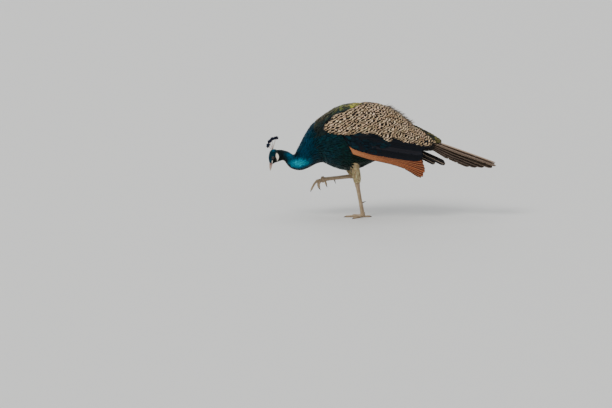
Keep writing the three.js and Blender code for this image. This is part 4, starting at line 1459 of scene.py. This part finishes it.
def groove(part, depth):
    """How near a share of the way along a scale is to the groove before the next one."""
    return max(0.0, 1 - abs(part - 0.02) / depth)


def scale_at(point, side):
    """How far a place on the bare leg stands up for its scales, and how deep in a crease it is."""
    top, bottom = Vector(HOCK[side]), Vector(ANKLE[side])
    spot = Vector(point)
    axis = (bottom - top).normalized()
    down = (spot - top).dot(axis)
    if down < (bottom - top).length - 10:
        front = SHANK_FRONT[side]
        front = (front - axis * front.dot(axis)).normalized()
        facing = (spot - top - axis * down).normalized().dot(front)
        if facing > 0.25:
            part = (down + 1.6 * (1 - facing)) / 6.4 % 1
            return 0.5 * part**0.7 - 0.22, groove(part, 0.12) + max(0.0, 1 - abs(facing - 0.3) / 0.1)
    else:
        found = []
        for line in TOES[side]:
            run = 0.0
            for a, b in zip(line, line[1:]):
                step = b - a
                share = clamp((spot - a).dot(step) / step.length_squared)
                middle = a + step * share
                found.append(((middle - spot).length, run + share * step.length, step.normalized(), middle))
                run += step.length
        _, run, step, middle = min(found, key=lambda near: near[0])
        back = Vector((0, 0, 1)) if side == "l" else LIFTED_BACK - step * LIFTED_BACK.dot(step)
        if (spot - middle).normalized().dot(back.normalized()) > 0.35 and run > 8:
            part = run / 4.6 % 1
            return 0.4 * part**0.7 - 0.18, groove(part, 0.14)
    near, _ = noise.voronoi(spot / 2.6, distance_metric="DISTANCE", exponent=2.5)
    seam = near[1] - near[0]
    return 0.28 * min(1.0, seam * 3) - 0.14, max(0.0, 1 - seam * 5)


def leg_material():
    n = Nodes("leg_skin")
    spots = n.noise(420)
    colour = n.mix(n.times(spots, 0.4), n.attribute("tint"), linear((120, 92, 78)))
    n.bump(n.noise(1400, 2), 0.2, 0.0002)
    return n.finish(Base_Color=colour, Roughness=n.maths("MULTIPLY_ADD", spots, 0.2, 0.42))


def above_floor(points):
    points[:, 2] = np.maximum(points[:, 2], 0.0)


def build_legs():
    skin_material = leg_material()
    claw_material = horn_material("claw_horn", 0.38, 500)
    for side in "lr":
        nodes = [f"shank_{side}"] + [f"toe_{side}_{name}" for name in TOE_TURNS]
        mesh, points, normals = remeshed(nodes, 0.85, 5)
        colours = []
        for i, point in enumerate(points):
            rise, crease = scale_at(point, side)
            if side == "r" or point[2] >= 2.5:
                points[i] += normals[i] * rise
            tan = 0.5 + 0.5 * wander(points[i], 14)
            colours.append(layered(LEG_PALE, (LEG_TAN, tan), (LEG_CREASE, crease * 0.7)))
        if side == "l":
            above_floor(points)
        finish_hard(f"leg_{side}", mesh, points, colours, skin_material, nodes)
        for node in [f"claw_{side}_{name}" for name in TOE_TURNS] + [f"spur_{side}"]:
            mesh, points, _ = remeshed([node], 0.4, 4)
            if side == "l" and node.startswith("claw"):
                above_floor(points)
            colours = [blend_colours(CLAW_BROWN, CLAW_DARK, 0.5 + 0.5 * wander(p, 5)) for p in points]
            finish_hard(f"{node}_horn", mesh, points, colours, claw_material, [node])


build_bill()
build_eyes()
build_legs()


# ---- Floor ----


def build_floor():
    n = Nodes("floor")
    colour = n.mix(n.times(n.noise(6, 4), 0.3), (0.8, 0.8, 0.78), (0.76, 0.76, 0.75))
    mesh = bpy.data.meshes.new("floor")
    edge = FLOOR_REACH
    points = [(-edge, -edge, 0), (edge, -edge, 0), (edge, edge, 0), (-edge, edge, 0)]
    mesh.from_pydata(points, [], [(0, 1, 2, 3)])
    mesh.materials.append(n.finish(Base_Color=colour, Roughness=0.8))
    new_object("floor", mesh)


build_floor()

bpy.context.view_layer.update()
